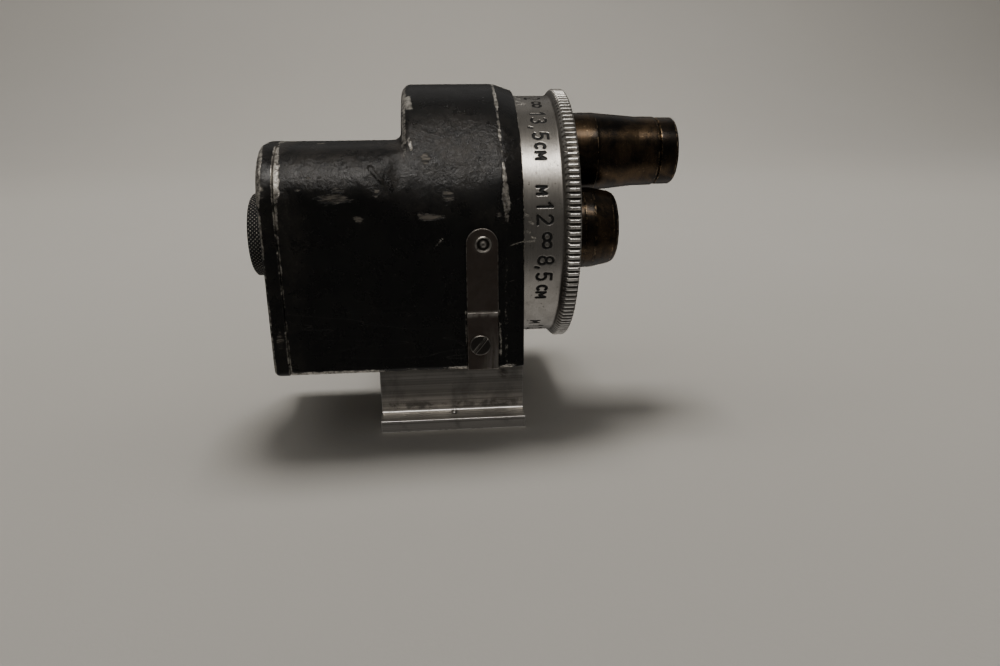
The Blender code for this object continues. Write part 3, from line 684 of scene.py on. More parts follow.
def segment_distance(u, v, a, b):
    du, dv = b[0] - a[0], b[1] - a[1]
    length_2 = max(du * du + dv * dv, 1e-12)
    t = np.clip(((u - a[0]) * du + (v - a[1]) * dv) / length_2, 0, 1)
    return np.hypot(u - a[0] - t * du, v - a[1] - t * dv)


# ---------------------------------------------------------------- wear masks
def ramp(x, a, b):
    t = np.clip((x - a) / (b - a), 0, 1)
    return t * t * (3 - 2 * t)


def near(distance, full, gone):
    """1 up to one distance, falling to 0 at another."""
    return 1 - ramp(np.abs(distance), full, gone)


def patch(points, centre, radii, soft):
    """1 inside an ellipsoid, falling to 0 outside it."""
    q = np.linalg.norm((points - np.array(centre)) / np.array(radii), axis=1)
    return 1 - ramp(q, 1 - soft, 1 + soft)


def streak(points, path, width, soft, ends=None):
    """1 along a path; ends are the shares of its length that fade in and out."""
    path = [np.array(p, float) for p in path]
    lengths = [np.linalg.norm(b - a) for a, b in zip(path, path[1:])]
    best, along = np.full(len(points), 1e9), np.zeros(len(points))
    run = 0.0
    for a, b, length in zip(path, path[1:], lengths):
        d = b - a
        t = np.clip(((points - a) @ d) / (length * length), 0, 1)
        distance = np.linalg.norm(points - a - t[:, None] * d, axis=1)
        closer = distance < best
        best[closer] = distance[closer]
        along[closer] = (run + t[closer] * length) / sum(lengths)
        run += length
    mask = 1 - ramp(best, width * (1 - 0.5 * soft), width * (1 + soft))
    if ends:
        mask = mask * ramp(along, 0, ends[0]) * (1 - ramp(along, 1 - ends[1], 1))
    return mask


def patches(points, table):
    """Table rows: centre, radii, softness, amount."""
    return [patch(points, *shape) * amount for *shape, amount in table]


def streaks(points, table):
    """Table rows: path, width, softness, amount."""
    return [streak(points, *shape) * amount for *shape, amount in table]


def strongest(*masks):
    return np.maximum.reduce(masks)


# ---------------------------------------------------------------- housing
BOX_REAR, DRUM_REAR, DRUM_FRONT = -22.8, -6.15, 10.4     # x
DRUM_R = 20.3
BOX_Z = 25.2                                             # middle of the box
WALL_Y = -9.5                                            # -Y face of the box


def drum_outline(y, z):
    base = section(y, z, (0.65, 18.9), (10.15, 9.4), r_top=0.05, r_low=0.8)
    return np.minimum(from_turret(y, z) - DRUM_R, base)


def housing_field(x, y, z):
    outline = drum_outline(y, z)
    # box at the rear, faired into the drum
    box = section(y, z, (0.0, BOX_Z), (-WALL_Y, 15.7), r_top=7.6, r_low=0.8)
    fade = ramp(x, -11.0, -5.9)
    box = smooth_max(box, outline - 0.02 - 1.5 * (1 - fade), 0.5)
    box = meet(box, BOX_REAR - x, 0.13)
    box = np.maximum(box, x + 4.0)
    # drum with a long front chamfer
    lower = section(y, z, (0.65, 0.0), (10.15, 28.3), r_top=0.05, r_low=0.8)
    side = np.where(z < 20, lower, outline)
    chamfer = ((x - 7.55) / 2.85 + np.minimum(from_turret(y, z) - DRUM_R, side)) * 0.944
    drum = smooth_max(outline, chamfer, 0.22)
    drum = meet(drum, x - DRUM_FRONT, 0.16)
    drum = meet(drum, DRUM_REAR - x, 1.5)
    d = join(box, drum, 0.05 + 1.25 * ramp(-outline, 0.3, 2.6))
    # turret bore, prism space and the opening between them
    d = cut(d, np.maximum(from_turret(y, z) - 18.65, -4.45 - x), 0.08)
    d = cut(d, np.maximum(rect(y, z, (0.0, 23.3), (7.9, 12.2), 3.4), x - DRUM_REAR))
    window = rect(y, z, (0.0, 23.0), (5.0, 10.0), 0.5)
    d = cut(d, np.maximum(window, np.abs(x + 5.3) - 1.5))
    # channel of the click spring and hole of the click pin
    d = cut(d, np.maximum(rect(x, z, (4.4, 12.0), (2.3, 6.3), 0.25), y + 9.2), 0.06)
    return cut(d, np.maximum(np.hypot(x - 4.55, z - AX_Z) - 0.95, y + 6.5), 0.06)


# path, width, softness, amount
BARE_STREAKS = (
    ([(-5.0, -4.2, 41.7), (-4.7, -5.4, 40.2)], 0.25, 1.2, 0.50),
    ([(6.85, WALL_Y, 16.5), (6.95, WALL_Y, 11.5)], 0.16, 1.2, 0.60),
    ([(-1.8, WALL_Y, 27.85), (-0.85, WALL_Y, 28.9)], 0.10, 1.0, 0.72),
    ([(8.0, WALL_Y, 27.3), (8.9, -9.2, 27.72), (10.3, -8.7, 28.0)], 0.15, 0.6, 0.3))
INDEX_STREAKS = (      # the painted index mark on the chamfer
    ([(8.2, -9.45, 27.5), (9.0, -9.15, 27.75), (10.4, -8.65, 28.0)], 0.14, 0.7, 1.0),
    ([(8.15, -9.45, 28.15), (8.8, -9.2, 27.8)], 0.10, 0.8, 0.8))
RIDGE_STREAKS = (      # crease of thick paint where the box runs into the drum
    ([(-10.2, -7.7, 38.2), (-9.3, -8.5, 37.2), (-8.25, -8.95, 36.2)], 0.22, 1.2, 1.0),
    ([(-8.25, -8.95, 36.2), (-6.3, -8.4, 37.3), (-6.75, -6.85, 39.1)], 0.22, 1.2, 0.8))
CHIP_STREAKS = (
    ([(-3.9, -9.1, 31.95), (-2.6, -9.2, 31.5), (-1.0, -9.3, 31.75)], 0.22, 1.0, 0.9),)
# centre, radii, softness, amount
SCUFF_PATCHES = (
    ((0.6, -4.8, 40.2), (8.6, 5.6, 5.2), 0.8, 1.0),
    ((-2.0, -8.6, 34.5), (5.0, 3.0, 3.0), 0.7, 0.38),
    ((-16.5, -8.2, 37.6), (6.6, 3.6, 2.8), 0.5, 0.62),
    ((-8.3, -8.6, 36.8), (3.2, 2.2, 2.4), 0.5, 0.9),
    ((5.5, -9.2, 31.5), (2.4, 1.8, 2.4), 0.7, 0.35),
    ((-21.5, -9.3, 30.0), (2.4, 2.5, 10.0), 0.6, 0.40))
CHIP_PATCHES = (
    ((-2.85, -6.2, 39.1), (0.62, 0.9, 1.15), 0.55, 1.0),
    ((0.0, -8.5, 34.3), (0.85, 0.8, 1.15), 0.55, 0.82),
    ((-2.5, -9.15, 31.75), (1.6, 0.6, 0.55), 0.55, 0.92),
    ((-15.2, -9.45, 34.35), (2.5, 0.8, 0.85), 0.55, 0.80),
    ((-14.3, -9.4, 35.5), (0.8, 0.6, 0.5), 0.55, 0.62),
    ((-11.95, -9.5, 31.65), (0.75, 0.5, 0.55), 0.55, 0.78),
    ((-9.4, -9.3, 35.1), (0.42, 0.5, 0.55), 0.55, 0.95),
    ((6.7, -9.1, 31.9), (0.45, 0.5, 0.35), 0.55, 0.8),
    ((-18.2, -8.6, 37.0), (0.34, 0.5, 0.26), 0.55, 0.9),
    ((-16.8, -8.55, 37.1), (0.3, 0.5, 0.24), 0.55, 0.9),
    ((-19.6, -9.3, 35.6), (0.5, 0.5, 0.22), 0.55, 0.85),
    ((-15.0, -9.45, 35.4), (0.28, 0.5, 0.22), 0.55, 0.85),
    ((-12.0, 4.0, 40.7), (1.2, 0.7, 0.4), 0.55, 0.7),
    ((-17.0, -2.0, 40.9), (0.7, 0.6, 0.4), 0.55, 0.8),
    ((-4.0, 18.0, 47.2), (0.8, 1.2, 0.6), 0.55, 0.8),
    ((2.0, 26.0, 41.5), (1.1, 1.4, 1.4), 0.55, 0.8),
    ((-14.0, 9.5, 22.0), (1.1, 0.5, 0.7), 0.55, 0.85),
    ((-19.0, 9.5, 30.0), (0.6, 0.5, 1.1), 0.55, 0.85),
    ((5.0, 30.5, 24.0), (0.9, 0.6, 1.4), 0.55, 0.8))


def housing_bare(points):
    """Bare metal along the worn edges; each table gives amounts by angle, height or x."""
    x, y, z = points.T
    angle = np.degrees(np.arctan2(z - AX_Z, -(y - TUR_Y)))      # 0 towards -Y, 90 up
    radius = from_turret(y, z)
    # rear end of the front chamfer
    ridge_x = 7.55 + 0.45 * ramp(-angle, -50, -12)
    width = np.interp(angle, [0, 10, 16, 24, 30, 38, 60, 90],
                      [0.30, 0.75, 0.95, 0.70, 0.42, 0.34, 0.42, 0.42])
    amount = np.interp(angle, [-60, 0, 6, 14, 24, 34, 50, 62, 100, 140, 180],
                       [0.05, 0.12, 0.45, 0.80, 0.84, 0.52, 0.50, 0.72, 0.66, 0.58, 0.46])
    ridge = near((x - ridge_x + 0.16) / width, 0.15, 1.05) * amount * ((radius > 17.5) & (z > 22))
    ridge_low = near(x - 7.75, 0.12, 0.4) * 0.36 * ((z < 28) & (y < -8.8))
    # front rim, a thin line
    amount = np.interp(angle, [-60, -20, 20, 60, 120, 180], [0.72, 0.62, 0.5, 0.66, 0.6, 0.5])
    on_rim = (radius > 18.9) & ((radius < 19.75) | (y < -9.0))
    rim = near(x - 10.36, 0.05, 0.2) * on_rim * amount
    # rear edge of the drum
    amount = np.interp(angle, [20, 34, 45, 60, 80, 100, 140, 180],
                       [0.0, 0.42, 0.60, 0.72, 0.62, 0.66, 0.60, 0.45])
    drum_edge = near(x + 5.75, 0.18, 0.60) * amount * near(radius - 19.85, 0.35, 0.8)
    drum_streak = streak(points, [(-5.5, 3.7, 47.0), (-5.0, 0.6, 45.5), (-4.3, -0.9, 44.7)],
                         0.46, 1.3, ends=(0.1, 0.35)) * 0.90
    # seam to the rear cover
    width = np.interp(z, [9.4, 20, 29, 33, 35.5, 39.5, 41],
                      [0.26, 0.24, 0.34, 0.55, 1.05, 0.95, 0.5])
    amount = np.interp(z, [9.4, 11, 14, 20, 28, 34, 36, 39.5, 41],
                       [0.80, 0.62, 0.50, 0.46, 0.58, 0.66, 0.92, 0.90, 0.55])
    seam = (1 - ramp((x + 22.78) / width, 0.35, 1.25)) * (x < -21.3)
    seam = seam * amount * np.where(y < 5, 1.0, 0.75)
    # long lower edges
    amount = np.interp(
        x, [-22.8, -21.6, -16, -11, -9.5, -0.8, -0.2, 1.8, 3.0, 6.8, 8.0, 10.4],
        [0.80, 0.74, 0.84, 0.70, 0.42, 0.40, 0.88, 0.80, 0.4, 0.55, 0.95, 0.85])
    bottom = near(np.hypot(z - 9.80, np.abs(y) - 9.34), 0.22, 0.62) * amount
    corner = patch(points, (8.3, WALL_Y, 9.75), (1.0, 0.6, 0.5), 0.5) * 0.85
    # edges of the spring channel, and the top of the box
    channel = near(np.abs(x - 4.4) - 2.36, 0.05, 0.2) * 0.44 * ((z < 18.5) & (y < -9.2))
    top = near(z - 40.85, 0.1, 0.6) * 0.16 * (x < -7.5)
    return strongest(ridge, ridge_low, rim, drum_edge, drum_streak, seam, bottom, corner,
                     channel, top, *streaks(points, BARE_STREAKS))


def housing_scuff(points):
    x, y, z = points.T
    amount = np.interp(z, [9.4, 20, 30, 36, 41], [0.25, 0.2, 0.4, 0.75, 0.5])
    return strongest(
        *patches(points, SCUFF_PATCHES),
        0.07 * ramp(-y, -6.0, 4.0),
        near(z - 38.1, 1.2, 3.0) * 0.62 * ((x < -7) & (y < 2)),      # upper corner of the box
        near(x + 21.8, 0.6, 1.8) * amount,                           # next to the seam
        0.34 * ramp(y, 2.0, 24.0))


def housing_marks(points):
    return {"bare": housing_bare(points), "scuff": housing_scuff(points),
            "chip": strongest(*patches(points, CHIP_PATCHES), *streaks(points, CHIP_STREAKS)),
            "ridge": strongest(*streaks(points, RIDGE_STREAKS)),
            "index": strongest(*streaks(points, INDEX_STREAKS))}


housing_grids = (
    axis_grid(-22.95, 10.55, 0.24 * COARSE,
              [(-22.95, -22.4, 0.07), (-6.4, -4.2, 0.16), (1.9, 2.3, 0.07), (6.5, 6.9, 0.07),
               (7.0, 10.0, 0.14), (10.0, 10.55, 0.06)]),
    axis_grid(-9.66, 31.3, 0.42 * COARSE,
              [(-9.66, -9.0, 0.08), (-9.0, -6.0, 0.22), (-6.0, 3.0, 0.3)]),
    axis_grid(7.5, 48.5, 0.24 * COARSE,
              [(9.3, 10.2, 0.10), (27.0, 28.4, 0.09), (18.1, 18.5, 0.08), (40.3, 41.1, 0.14)]))
field_piece("housing_shell", housing_field, housing_grids, "root", "housing", "enamel",
            marks=housing_marks)

# ---------------------------------------------------------------- rear cover
COVER_SCREWS = [(-7.0, 12.0), (7.0, 12.0), (4.0, 38.0), (-4.0, 38.0)]      # (y, z)
COVER_CHIPS = (      # centre, radii, softness, amount
    ((-24.4, -9.4, 35.4), (0.5, 0.7, 1.0), 0.55, 0.9),
    ((-25.1, 5.6, 18.0), (0.4, 0.8, 0.6), 0.55, 0.88),
    ((-25.1, -6.8, 24.0), (0.4, 0.5, 1.1), 0.55, 0.88),
    ((-25.1, 2.0, 12.0), (0.4, 1.3, 0.5), 0.55, 0.88),
    ((-23.8, -9.5, 15.0), (0.5, 0.5, 1.3), 0.55, 0.88))


def cover_field(x, y, z):
    d = section(y, z, (0.0, BOX_Z), (9.55, 15.75), r_top=7.65, r_low=0.85)
    d = meet(d, -25.15 - x, 0.85)
    d = meet(d, x + 22.85, 0.22)
    d = cut(d, np.hypot(y, z - AX_Z) - 4.75, 0.12)
    for screw_y, screw_z in COVER_SCREWS:
        q = np.hypot(y - screw_y, z - screw_z)
        d = cut(d, np.maximum(q - 1.35, x + 24.25), 0.10)
        d = cut(d, q - 0.8)
    return d


def cover_marks(points):
    x, y, z = points.T
    outline = section(y, z, (0.0, BOX_Z), (9.55, 15.75), r_top=7.65, r_low=0.85)
    amount = np.interp(z, [9.4, 12, 20, 30, 35, 38, 41],
                       [0.66, 0.5, 0.38, 0.44, 0.66, 0.78, 0.66])
    front_edge = near(x + 22.95, 0.05, 0.26) * (outline > -0.4) * amount
    width = np.interp(z, [9.4, 30, 34, 36, 39.5, 41], [0.30, 0.34, 0.5, 0.85, 0.85, 0.5])
    amount = np.interp(z, [9.4, 11, 16, 24, 31, 35.5, 39, 41],
                       [0.85, 0.70, 0.56, 0.52, 0.66, 0.92, 0.95, 0.75])
    rear_edge = near(np.hypot(x + 24.86, outline + 0.26) / width, 0.3, 1.15)
    rear_edge = rear_edge * amount * np.where(y < 5, 1.0, 0.8)
    screw_lips = [near(np.hypot(y - screw_y, z - screw_z) - 1.42, 0.06, 0.22) * 0.62 * (x < -24.9)
                  for screw_y, screw_z in COVER_SCREWS]
    eye_lip = near(np.hypot(y, z - AX_Z) - 4.8, 0.05, 0.22) * 0.5 * (x < -24.8)
    scuff = (0.22 + 0.5 * patch(points, (-25.0, -6.0, 36.0), (1.5, 5.0, 5.0), 0.6)
             + 0.45 * patch(points, (-25.1, 0.0, 28.0), (0.8, 9.0, 9.0), 0.5))
    return {"bare": strongest(front_edge, rear_edge, eye_lip, *screw_lips),
            "scuff": np.clip(scuff, 0, 1), "chip": strongest(*patches(points, COVER_CHIPS)),
            "ridge": np.zeros(len(points)), "index": np.zeros(len(points))}


cover_grids = (axis_grid(-25.3, -22.7, 0.11 * COARSE),
               axis_grid(-9.75, 9.75, 0.22 * COARSE, [(-9.75, -9.2, 0.12)]),
               axis_grid(9.25, 41.15, 0.22 * COARSE))
field_piece("rear_cover_cap", cover_field, cover_grids, "root", "rear_cover", "enamel",
            marks=cover_marks)


def screw_head(name, body, cad, at, face, seat, r, turn, slot_width, slot_depth, axis="X",
               slot="steel", step=0.07, dome=0.12):
    """Slotted head from its outer face to its seat along the axis; turn is the slot's angle."""
    out = -1.0 if face < seat else 1.0
    c, s = cos(radians(turn)), sin(radians(turn))

    def field(x, y, z):
        along, p, q = split(axis, x, y, z)
        p, q = p - at[0], q - at[1]
        radius = np.hypot(p, q)
        t = out * (along - face)                       # 0 at the face, negative inside
        d = meet(radius - r, t + dome * (radius / r) ** 2 * 0.8, 0.13)
        d = np.maximum(d, out * (seat - face) - t)
        across = -p * s + q * c
        return cut(d, np.maximum(np.abs(across) - slot_width / 2, -(t + slot_depth)), 0.06)

    along = axis_grid(min(face, seat) - 0.12, max(face, seat) + 0.12, step * 0.9)
    first = axis_grid(at[0] - r - 0.15, at[0] + r + 0.15, step * 1.25)
    second = axis_grid(at[1] - r - 0.15, at[1] + r + 0.15, step * 1.25)
    grids = {"X": (along, first, second), "Y": (first, along, second),
             "Z": (first, second, along)}[axis]
    field_piece(name, field, grids, body, cad, slot, h=0.08, axis=axis, at=at)


for i, at in enumerate(COVER_SCREWS):
    screw_head("cover_screw_head_%d" % (i + 1), "root", "rear_cover_screw_%d" % (i + 1), at,
               face=-25.10, seat=-24.28, r=1.25, turn=25.0 + 47.0 * i,
               slot_width=0.34, slot_depth=0.32)

# ---------------------------------------------------------------- eyepiece
# lathe profiles throughout are (along the axis, radius)
lathe("eyepiece_sleeve",
      [(-26.95, 4.0), (-26.95, 4.68), (-22.75, 4.68), (-22.75, 6.2), (-22.0, 6.2), (-22.0, 4.0)],
      "root", "eyepiece_tube", "black_anodised", EYE, rad=0.08)


def knurled_eye_ring():
    """Focus ring with a diamond knurl."""
    seg = 540
    crest_r, pairs, depth = 5.86, 66, 0.17
    theta = 2 * pi * np.arange(seg) / seg
    rear = [(-27.05, 3.4), (-27.62, 3.4), (-27.75, 3.55), (-27.75, 4.5), (-27.70, 5.0),
            (-27.62, 5.3)]
    knurl = [(x, crest_r - 0.30 * max(0.0, (-27.30 - x) / 0.28) ** 1.6
              - 0.18 * max(0.0, (x + 25.42) / 0.2) ** 2)
             for x in np.arange(-27.58, -25.26, 0.065)]
    front = [(-25.22, 5.55), (-25.20, 5.2), (-25.20, 4.78), (-27.05, 4.78)]
    profile = np.array(rear + knurl + front)
    first, end = len(rear), len(rear) + len(knurl)
    radii = np.repeat(profile[:, 1][:, None], seg, 1)
    wear, dirt = np.zeros(radii.shape), np.zeros(radii.shape)
    pitch = 2 * pi * crest_r / pairs
    around = theta * crest_r
    for j in range(first, end):
        x = profile[j, 0]
        groove_1 = np.abs(((around + x) / pitch) % 1 - 0.5) * 2
        groove_2 = np.abs(((around - x) / pitch) % 1 - 0.5) * 2
        deep = np.maximum(ramp(groove_1, 0.25, 1.0), ramp(groove_2, 0.25, 1.0))
        fade = min(1.0, (j - first) / 3.0, (end - 1 - j) / 3.0)      # runs out at both ends
        radii[j] -= depth * deep * fade
        wear[j] = (1 - ramp(deep, 0.0, 0.35)) * (0.85 if fade > 0.5 else 0.5)
        dirt[j] = ramp(deep, 0.4, 1.0)
    wear[1:4] = 0.35
    x = np.repeat(profile[:, 0][:, None], seg, 1)
    verts = np.stack([x, radii * np.cos(theta), AX_Z + radii * np.sin(theta)], -1)
    attrs = {"wear": wear, "dirt": dirt, "turn_u": theta * profile[:, 1][:, None],
             "turn_v": np.repeat(run_length(profile)[:, None], seg, 1)}
    build("eyepiece_focus_knurl", verts.reshape(-1, 3), ring_quads(len(profile), seg),
          "eyepiece_focus_ring", "eyepiece_ring", "black_anodised", attrs)


knurled_eye_ring()


def eye_cell_field(x, y, z):
    q = np.hypot(y - EYE[0], z - EYE[1])
    d = meet(q - 3.93, np.abs(x + 24.45) - 1.55, 0.07)
    d = cut(d, np.maximum(q - 3.2, -25.65 - x), 0.04)
    d = cut(d, q - 2.8, 0.05)
    keyway = np.maximum(np.abs(y - EYE[0]) - 0.4, np.maximum(-24.0 - x, z - EYE[1] + 2.5))
    return cut(d, keyway, 0.04)


eye_cell_grids = (axis_grid(-26.1, -22.8, 0.13 * COARSE, [(-26.1, -25.5, 0.06)]),
                  axis_grid(EYE[0] - 4.05, EYE[0] + 4.05, 0.15 * COARSE, [(-0.6, 0.6, 0.07)]),
                  axis_grid(EYE[1] - 4.05, EYE[1] + 4.05, 0.15 * COARSE))
field_piece("eyepiece_inner_cell", eye_cell_field, eye_cell_grids, "eyepiece_slide",
            "eyepiece_cell", "black_anodised", h=0.06, axis="X", at=EYE)


def lens(name, back, front, rim_r, body, cad, at, steps=14):
    """Lens whose back and front are (x at the axis, x at the rim)."""
    def curve(axis_x, rim_x):
        return [(axis_x + (rim_x - axis_x) * t * t, rim_r * t)
                for t in (i / steps for i in range(steps + 1))]

    lathe(name, curve(*back) + curve(*front)[::-1], body, cad, "optical_glass", at,
          seg=96, rad=0.0, step=50, sharp=25)


def tube(name, start, end, r_in, r_out, body, cad, slot, at, rad):
    """Plain ring between two places on the X axis."""
    lathe(name, [(start, r_in), (start, r_out), (end, r_out), (end, r_in)],
          body, cad, slot, at, rad=rad, seg=96)


lens("eye_lens_glass", (-25.33, -25.58), (-24.02, -24.5), 3.08, "eyepiece_slide", "eye_lens", EYE)
tube("eye_lens_retainer", -24.2, -23.7, 2.7, 3.14, "eyepiece_slide", "eye_lens_ring", "brass",
     EYE, rad=0.05)

# ---------------------------------------------------------------- accessory foot
FOOT_SCREWS = [(7.0, -3.0), (7.0, 3.0), (-7.0, 3.0), (-7.0, -3.0)]      # (x, y)
BALL_AT, BALL_Z = (0.1, -6.9), 1.62


def foot_field(x, y, z):
    plate = meet(np.abs(y) - 9.3, np.abs(z - 0.9) - 0.9, 0.09)
    neck = np.maximum(np.abs(y) - 6.15, np.abs(z - 5.2) - 4.25)
    coved = (z > 1.4) & (np.abs(y) > 5.8)
    outline = np.where(coved, join(plate, neck, 0.42), np.minimum(plate, neck))
    d = meet(outline, np.abs(x + 0.04) - 10.66, 0.10)
    d = cut(d, np.maximum(from_turret(y, z) - 20.36, -6.25 - x), 0.06)      # room for the drum
    for screw_x, screw_y in FOOT_SCREWS:
        well = np.hypot(x - screw_x, y - screw_y) - 1.9
        d = cut(d, np.maximum(well, z - 6.5), 0.10)
    return cut(d, np.hypot(np.hypot(x - BALL_AT[0], y - BALL_AT[1]), z - BALL_Z) - 0.42)


def foot_marks(points):
    x, y, z = points.T
    side = np.abs(y)
    end = np.abs(x + 0.04)
    grime_and_shade = strongest(
        near(z - 2.75, 0.25, 0.95) * 0.62 * ((side < 6.4) & (side > 5.8)),
        (1 - ramp(9.5 - z, 0.05, 0.5)) * 0.8,                        # painted shade under the overhang of the housing
        near(np.hypot(x - 0.1, side - 6.9), 0.4, 0.9) * 0.9 * (z > 1.5),
        patch(points, (7.6, -6.15, 7.6), (0.7, 0.6, 0.8), 0.6) * 0.9)
    edge = strongest(
        near(np.hypot(side - 9.25, z - 1.75), 0.05, 0.2) * 0.8,      # upper edges of the plate
        near(end - 10.6, 0.03, 0.14) * 0.6,                          # front and rear ends
        near(np.hypot(side - 9.22, z - 0.08), 0.04, 0.2) * 0.7,      # lower edges
        # painted highlight along the concave fillet between the neck and the plate
        near(z - 1.98, 0.03, 0.2) * 0.6 * ((side > 6.1) & (side < 6.5)))
    return {"dirt": grime_and_shade, "wear": edge}


foot_grids = (
    axis_grid(-10.85, 10.85, 0.3 * COARSE,
              [(-10.85, -10.45, 0.05), (10.4, 10.8, 0.05), (-0.5, 0.7, 0.08)]),
    axis_grid(-9.45, 9.45, 0.3 * COARSE,
              [(-9.45, -9.05, 0.05), (-7.4, -6.4, 0.08), (-6.35, -5.95, 0.05),
               (5.95, 6.35, 0.06), (9.05, 9.45, 0.06)]),
    axis_grid(-0.1, 9.6, 0.22 * COARSE, [(-0.1, 0.2, 0.05), (1.5, 2.5, 0.06), (9.2, 9.6, 0.06)]))
field_piece("shoe_foot", foot_field, foot_grids, "root", "accessory_foot", "brushed_foot",
            h=0.10, marks=foot_marks)
for i, at in enumerate(FOOT_SCREWS):
    screw_head("foot_screw_head_%d" % (i + 1), "root", "foot_screw_%d" % (i + 1), at, axis="Z",
               face=5.2, seat=6.48, r=1.75, turn=15.0 + 38 * i,
               slot_width=0.45, slot_depth=0.5, step=0.09)


def foot_ball(r=0.38, steps=10):
    angles = [pi * k / steps for k in range(steps + 1)]
    lathe("foot_spring_ball", [(BALL_Z - r * cos(a), r * sin(a)) for a in angles],
          "root", "foot_ball", "steel", BALL_AT, "Z", seg=40, rad=0.0, step=50)


foot_ball()

# ---------------------------------------------------------------- click spring
# a strip up the -Y side: its foot lies in the channel, its blade carries the click pin
PIN = (4.55, AX_Z)               # (x, z)
SPRING_SCREW = (4.0, 13.4)
SPRING_X, SPRING_HALF = 4.4, 2.2


def spring_marks(points):
    x, y, z = points.T
    rub = strongest(
        (1 - ramp(z, 10.5, 17.5)) * ramp(x, 3.4, 6.4) * 0.9,
        near(z - 18.0, 0.15, 0.75),                                  # at the step in the strip
        near(np.hypot(x - PIN[0], z - PIN[1]), 1.0, 1.6) * 0.25)
    return {"rub": rub * np.where(y < WALL_Y, 1, 0.4)}


def spring_foot_field(x, y, z):
    middle = -9.45 - 0.4 * ramp(z, 17.65, 18.3)
    outline = rect(x, z, (SPRING_X, 13.925), (SPRING_HALF, 4.375), 0.12)
    d = meet(np.abs(y - middle) - 0.2, outline, 0.06)
    return cut(d, np.hypot(x - SPRING_SCREW[0], z - SPRING_SCREW[1]) - 0.95, 0.05)


def spring_blade_field(x, y, z):
    bar = rect(x, z, (SPRING_X, 23.2), (SPRING_HALF, 4.84), 0.06)
    round_end = np.hypot(x - SPRING_X, z - AX_Z) - SPRING_HALF
    d = meet(np.abs(y + 9.85) - 0.2, np.minimum(bar, round_end), 0.07)
    return cut(d, np.hypot(x - PIN[0], z - PIN[1]) - 0.85, 0.05)


spring_xs = axis_grid(2.05, 6.75, 0.14 * COARSE, [(2.05, 2.4, 0.05), (6.4, 6.75, 0.05)])
spring_foot_grids = (spring_xs, axis_grid(-10.2, -9.1, 0.055),
                     axis_grid(9.4, 18.45, 0.14 * COARSE, [(17.5, 18.45, 0.06)]))
field_piece("click_spring_foot", spring_foot_field, spring_foot_grids, "root",
            "click_spring_base", "spring_steel", h=0.07, marks=spring_marks)
spring_blade_grids = (
    spring_xs, axis_grid(-10.16, -9.54, 0.05),
    axis_grid(18.2, 30.4, 0.14 * COARSE, [(18.2, 18.6, 0.06), (26.0, 30.4, 0.09)]))
field_piece("click_spring_blade", spring_blade_field, spring_blade_grids, "click_spring",
            "click_spring_arm", "spring_steel", h=0.07, marks=spring_marks)
screw_head("click_spring_screw_head", "root", "click_spring_screw", SPRING_SCREW, axis="Y",
           face=-10.07, seat=-9.66, r=1.5, turn=51.0, slot_width=0.42, slot_depth=0.27,
           slot="dark_steel", step=0.06, dome=0.10)
lathe("click_pin_turned",
      [(-10.02, 0.0), (-10.20, 0.30), (-10.06, 0.62), (-10.04, 0.74), (-10.16, 0.86),
       (-10.25, 0.98), (-10.14, 1.15), (-10.06, 1.15), (-10.06, 0.8), (-8.05, 0.8),
       (-7.75, 0.45), (-7.75, 0.0)],
      "click_spring", "click_pin", "dark_steel", PIN, "Y", seg=72, rad=0.05, step=0.2)


# ---------------------------------------------------------------- turret carrier
def spot(k, r):
    """(y, z) at radius r, k objective steps round from the one in use, going over the top."""
    t = radians(180.0 - LENS_STEP * k)
    return (TUR_Y + r * cos(t), AX_Z + r * sin(t))


PLATE_SCREWS = [spot(k + 0.5, 14.6) for k in (0, 2, 3)]


def plate_field(x, y, z):
    radius = from_turret(y, z)
    d = meet(radius - 17.3, np.abs(x - 16.55) - 1.35, 0.16)
    d = np.minimum(d, np.maximum(radius - 4.2, np.abs(x - 12.5) - 3.5))      # hub
    d = cut(d, np.maximum(radius - 3.6, 17.7 - x), 0.08)
    d = cut(d, radius - 2.06)
    for k in range(5):
        hole_y, hole_z = spot(k, LENS_R)
        d = cut(d, np.hypot(y - hole_y, z - hole_z) - 4.46, 0.08)
    for screw_y, screw_z in PLATE_SCREWS:
        d = cut(d, np.maximum(np.hypot(y - screw_y, z - screw_z) - 1.15, 17.3 - x), 0.06)
    return d


def plate_marks(points):
    """Values above 0 keep the plate free of ink and ticks."""
    return {"ink": np.full(len(points), 1.0), "mark": np.full(len(points), 1.0)}


plate_grids = (
    axis_grid(8.85, 18.05, 0.5, [(15.0, 15.5, 0.1), (15.5, 17.1, 0.4), (17.1, 18.05, 0.08)]),
    axis_grid(TUR_Y - 17.5, TUR_Y + 17.5, 0.21 * COARSE),
    axis_grid(AX_Z - 17.5, AX_Z + 17.5, 0.21 * COARSE))
field_piece("lens_carrier", plate_field, plate_grids, "turret", "turret_plate", "satin_nickel",
            h=0.1, axis="X", at=TUR, marks=plate_marks)
for i, at in enumerate(PLATE_SCREWS):
    screw_head("plate_screw_head_%d" % (i + 1), "turret", "plate_screw_%d" % (i + 1), at,
               face=17.88, seat=17.34, r=1.08, turn=35.0 + 50 * i,
               slot_width=0.26, slot_depth=0.25, step=0.055, dome=0.06)
screw_head("turret_screw_head", "root", "turret_screw", TUR, face=19.15, seat=18.17, r=2.7,
           turn=20.0, slot_width=0.55, slot_depth=0.5, step=0.09)
tube("turret_spacer", 17.97, 18.12, 1.1, 3.2, "root", "turret_washer", "steel", TUR, rad=0.04)


# ---------------------------------------------------------------- engraved scale ring
def arc(cx, cy, rx, ry, start, end, steps=14):
    angles = [radians(start + (end - start) * i / steps) for i in range(steps + 1)]
    return [(cx + rx * cos(a), cy + ry * sin(a)) for a in angles]


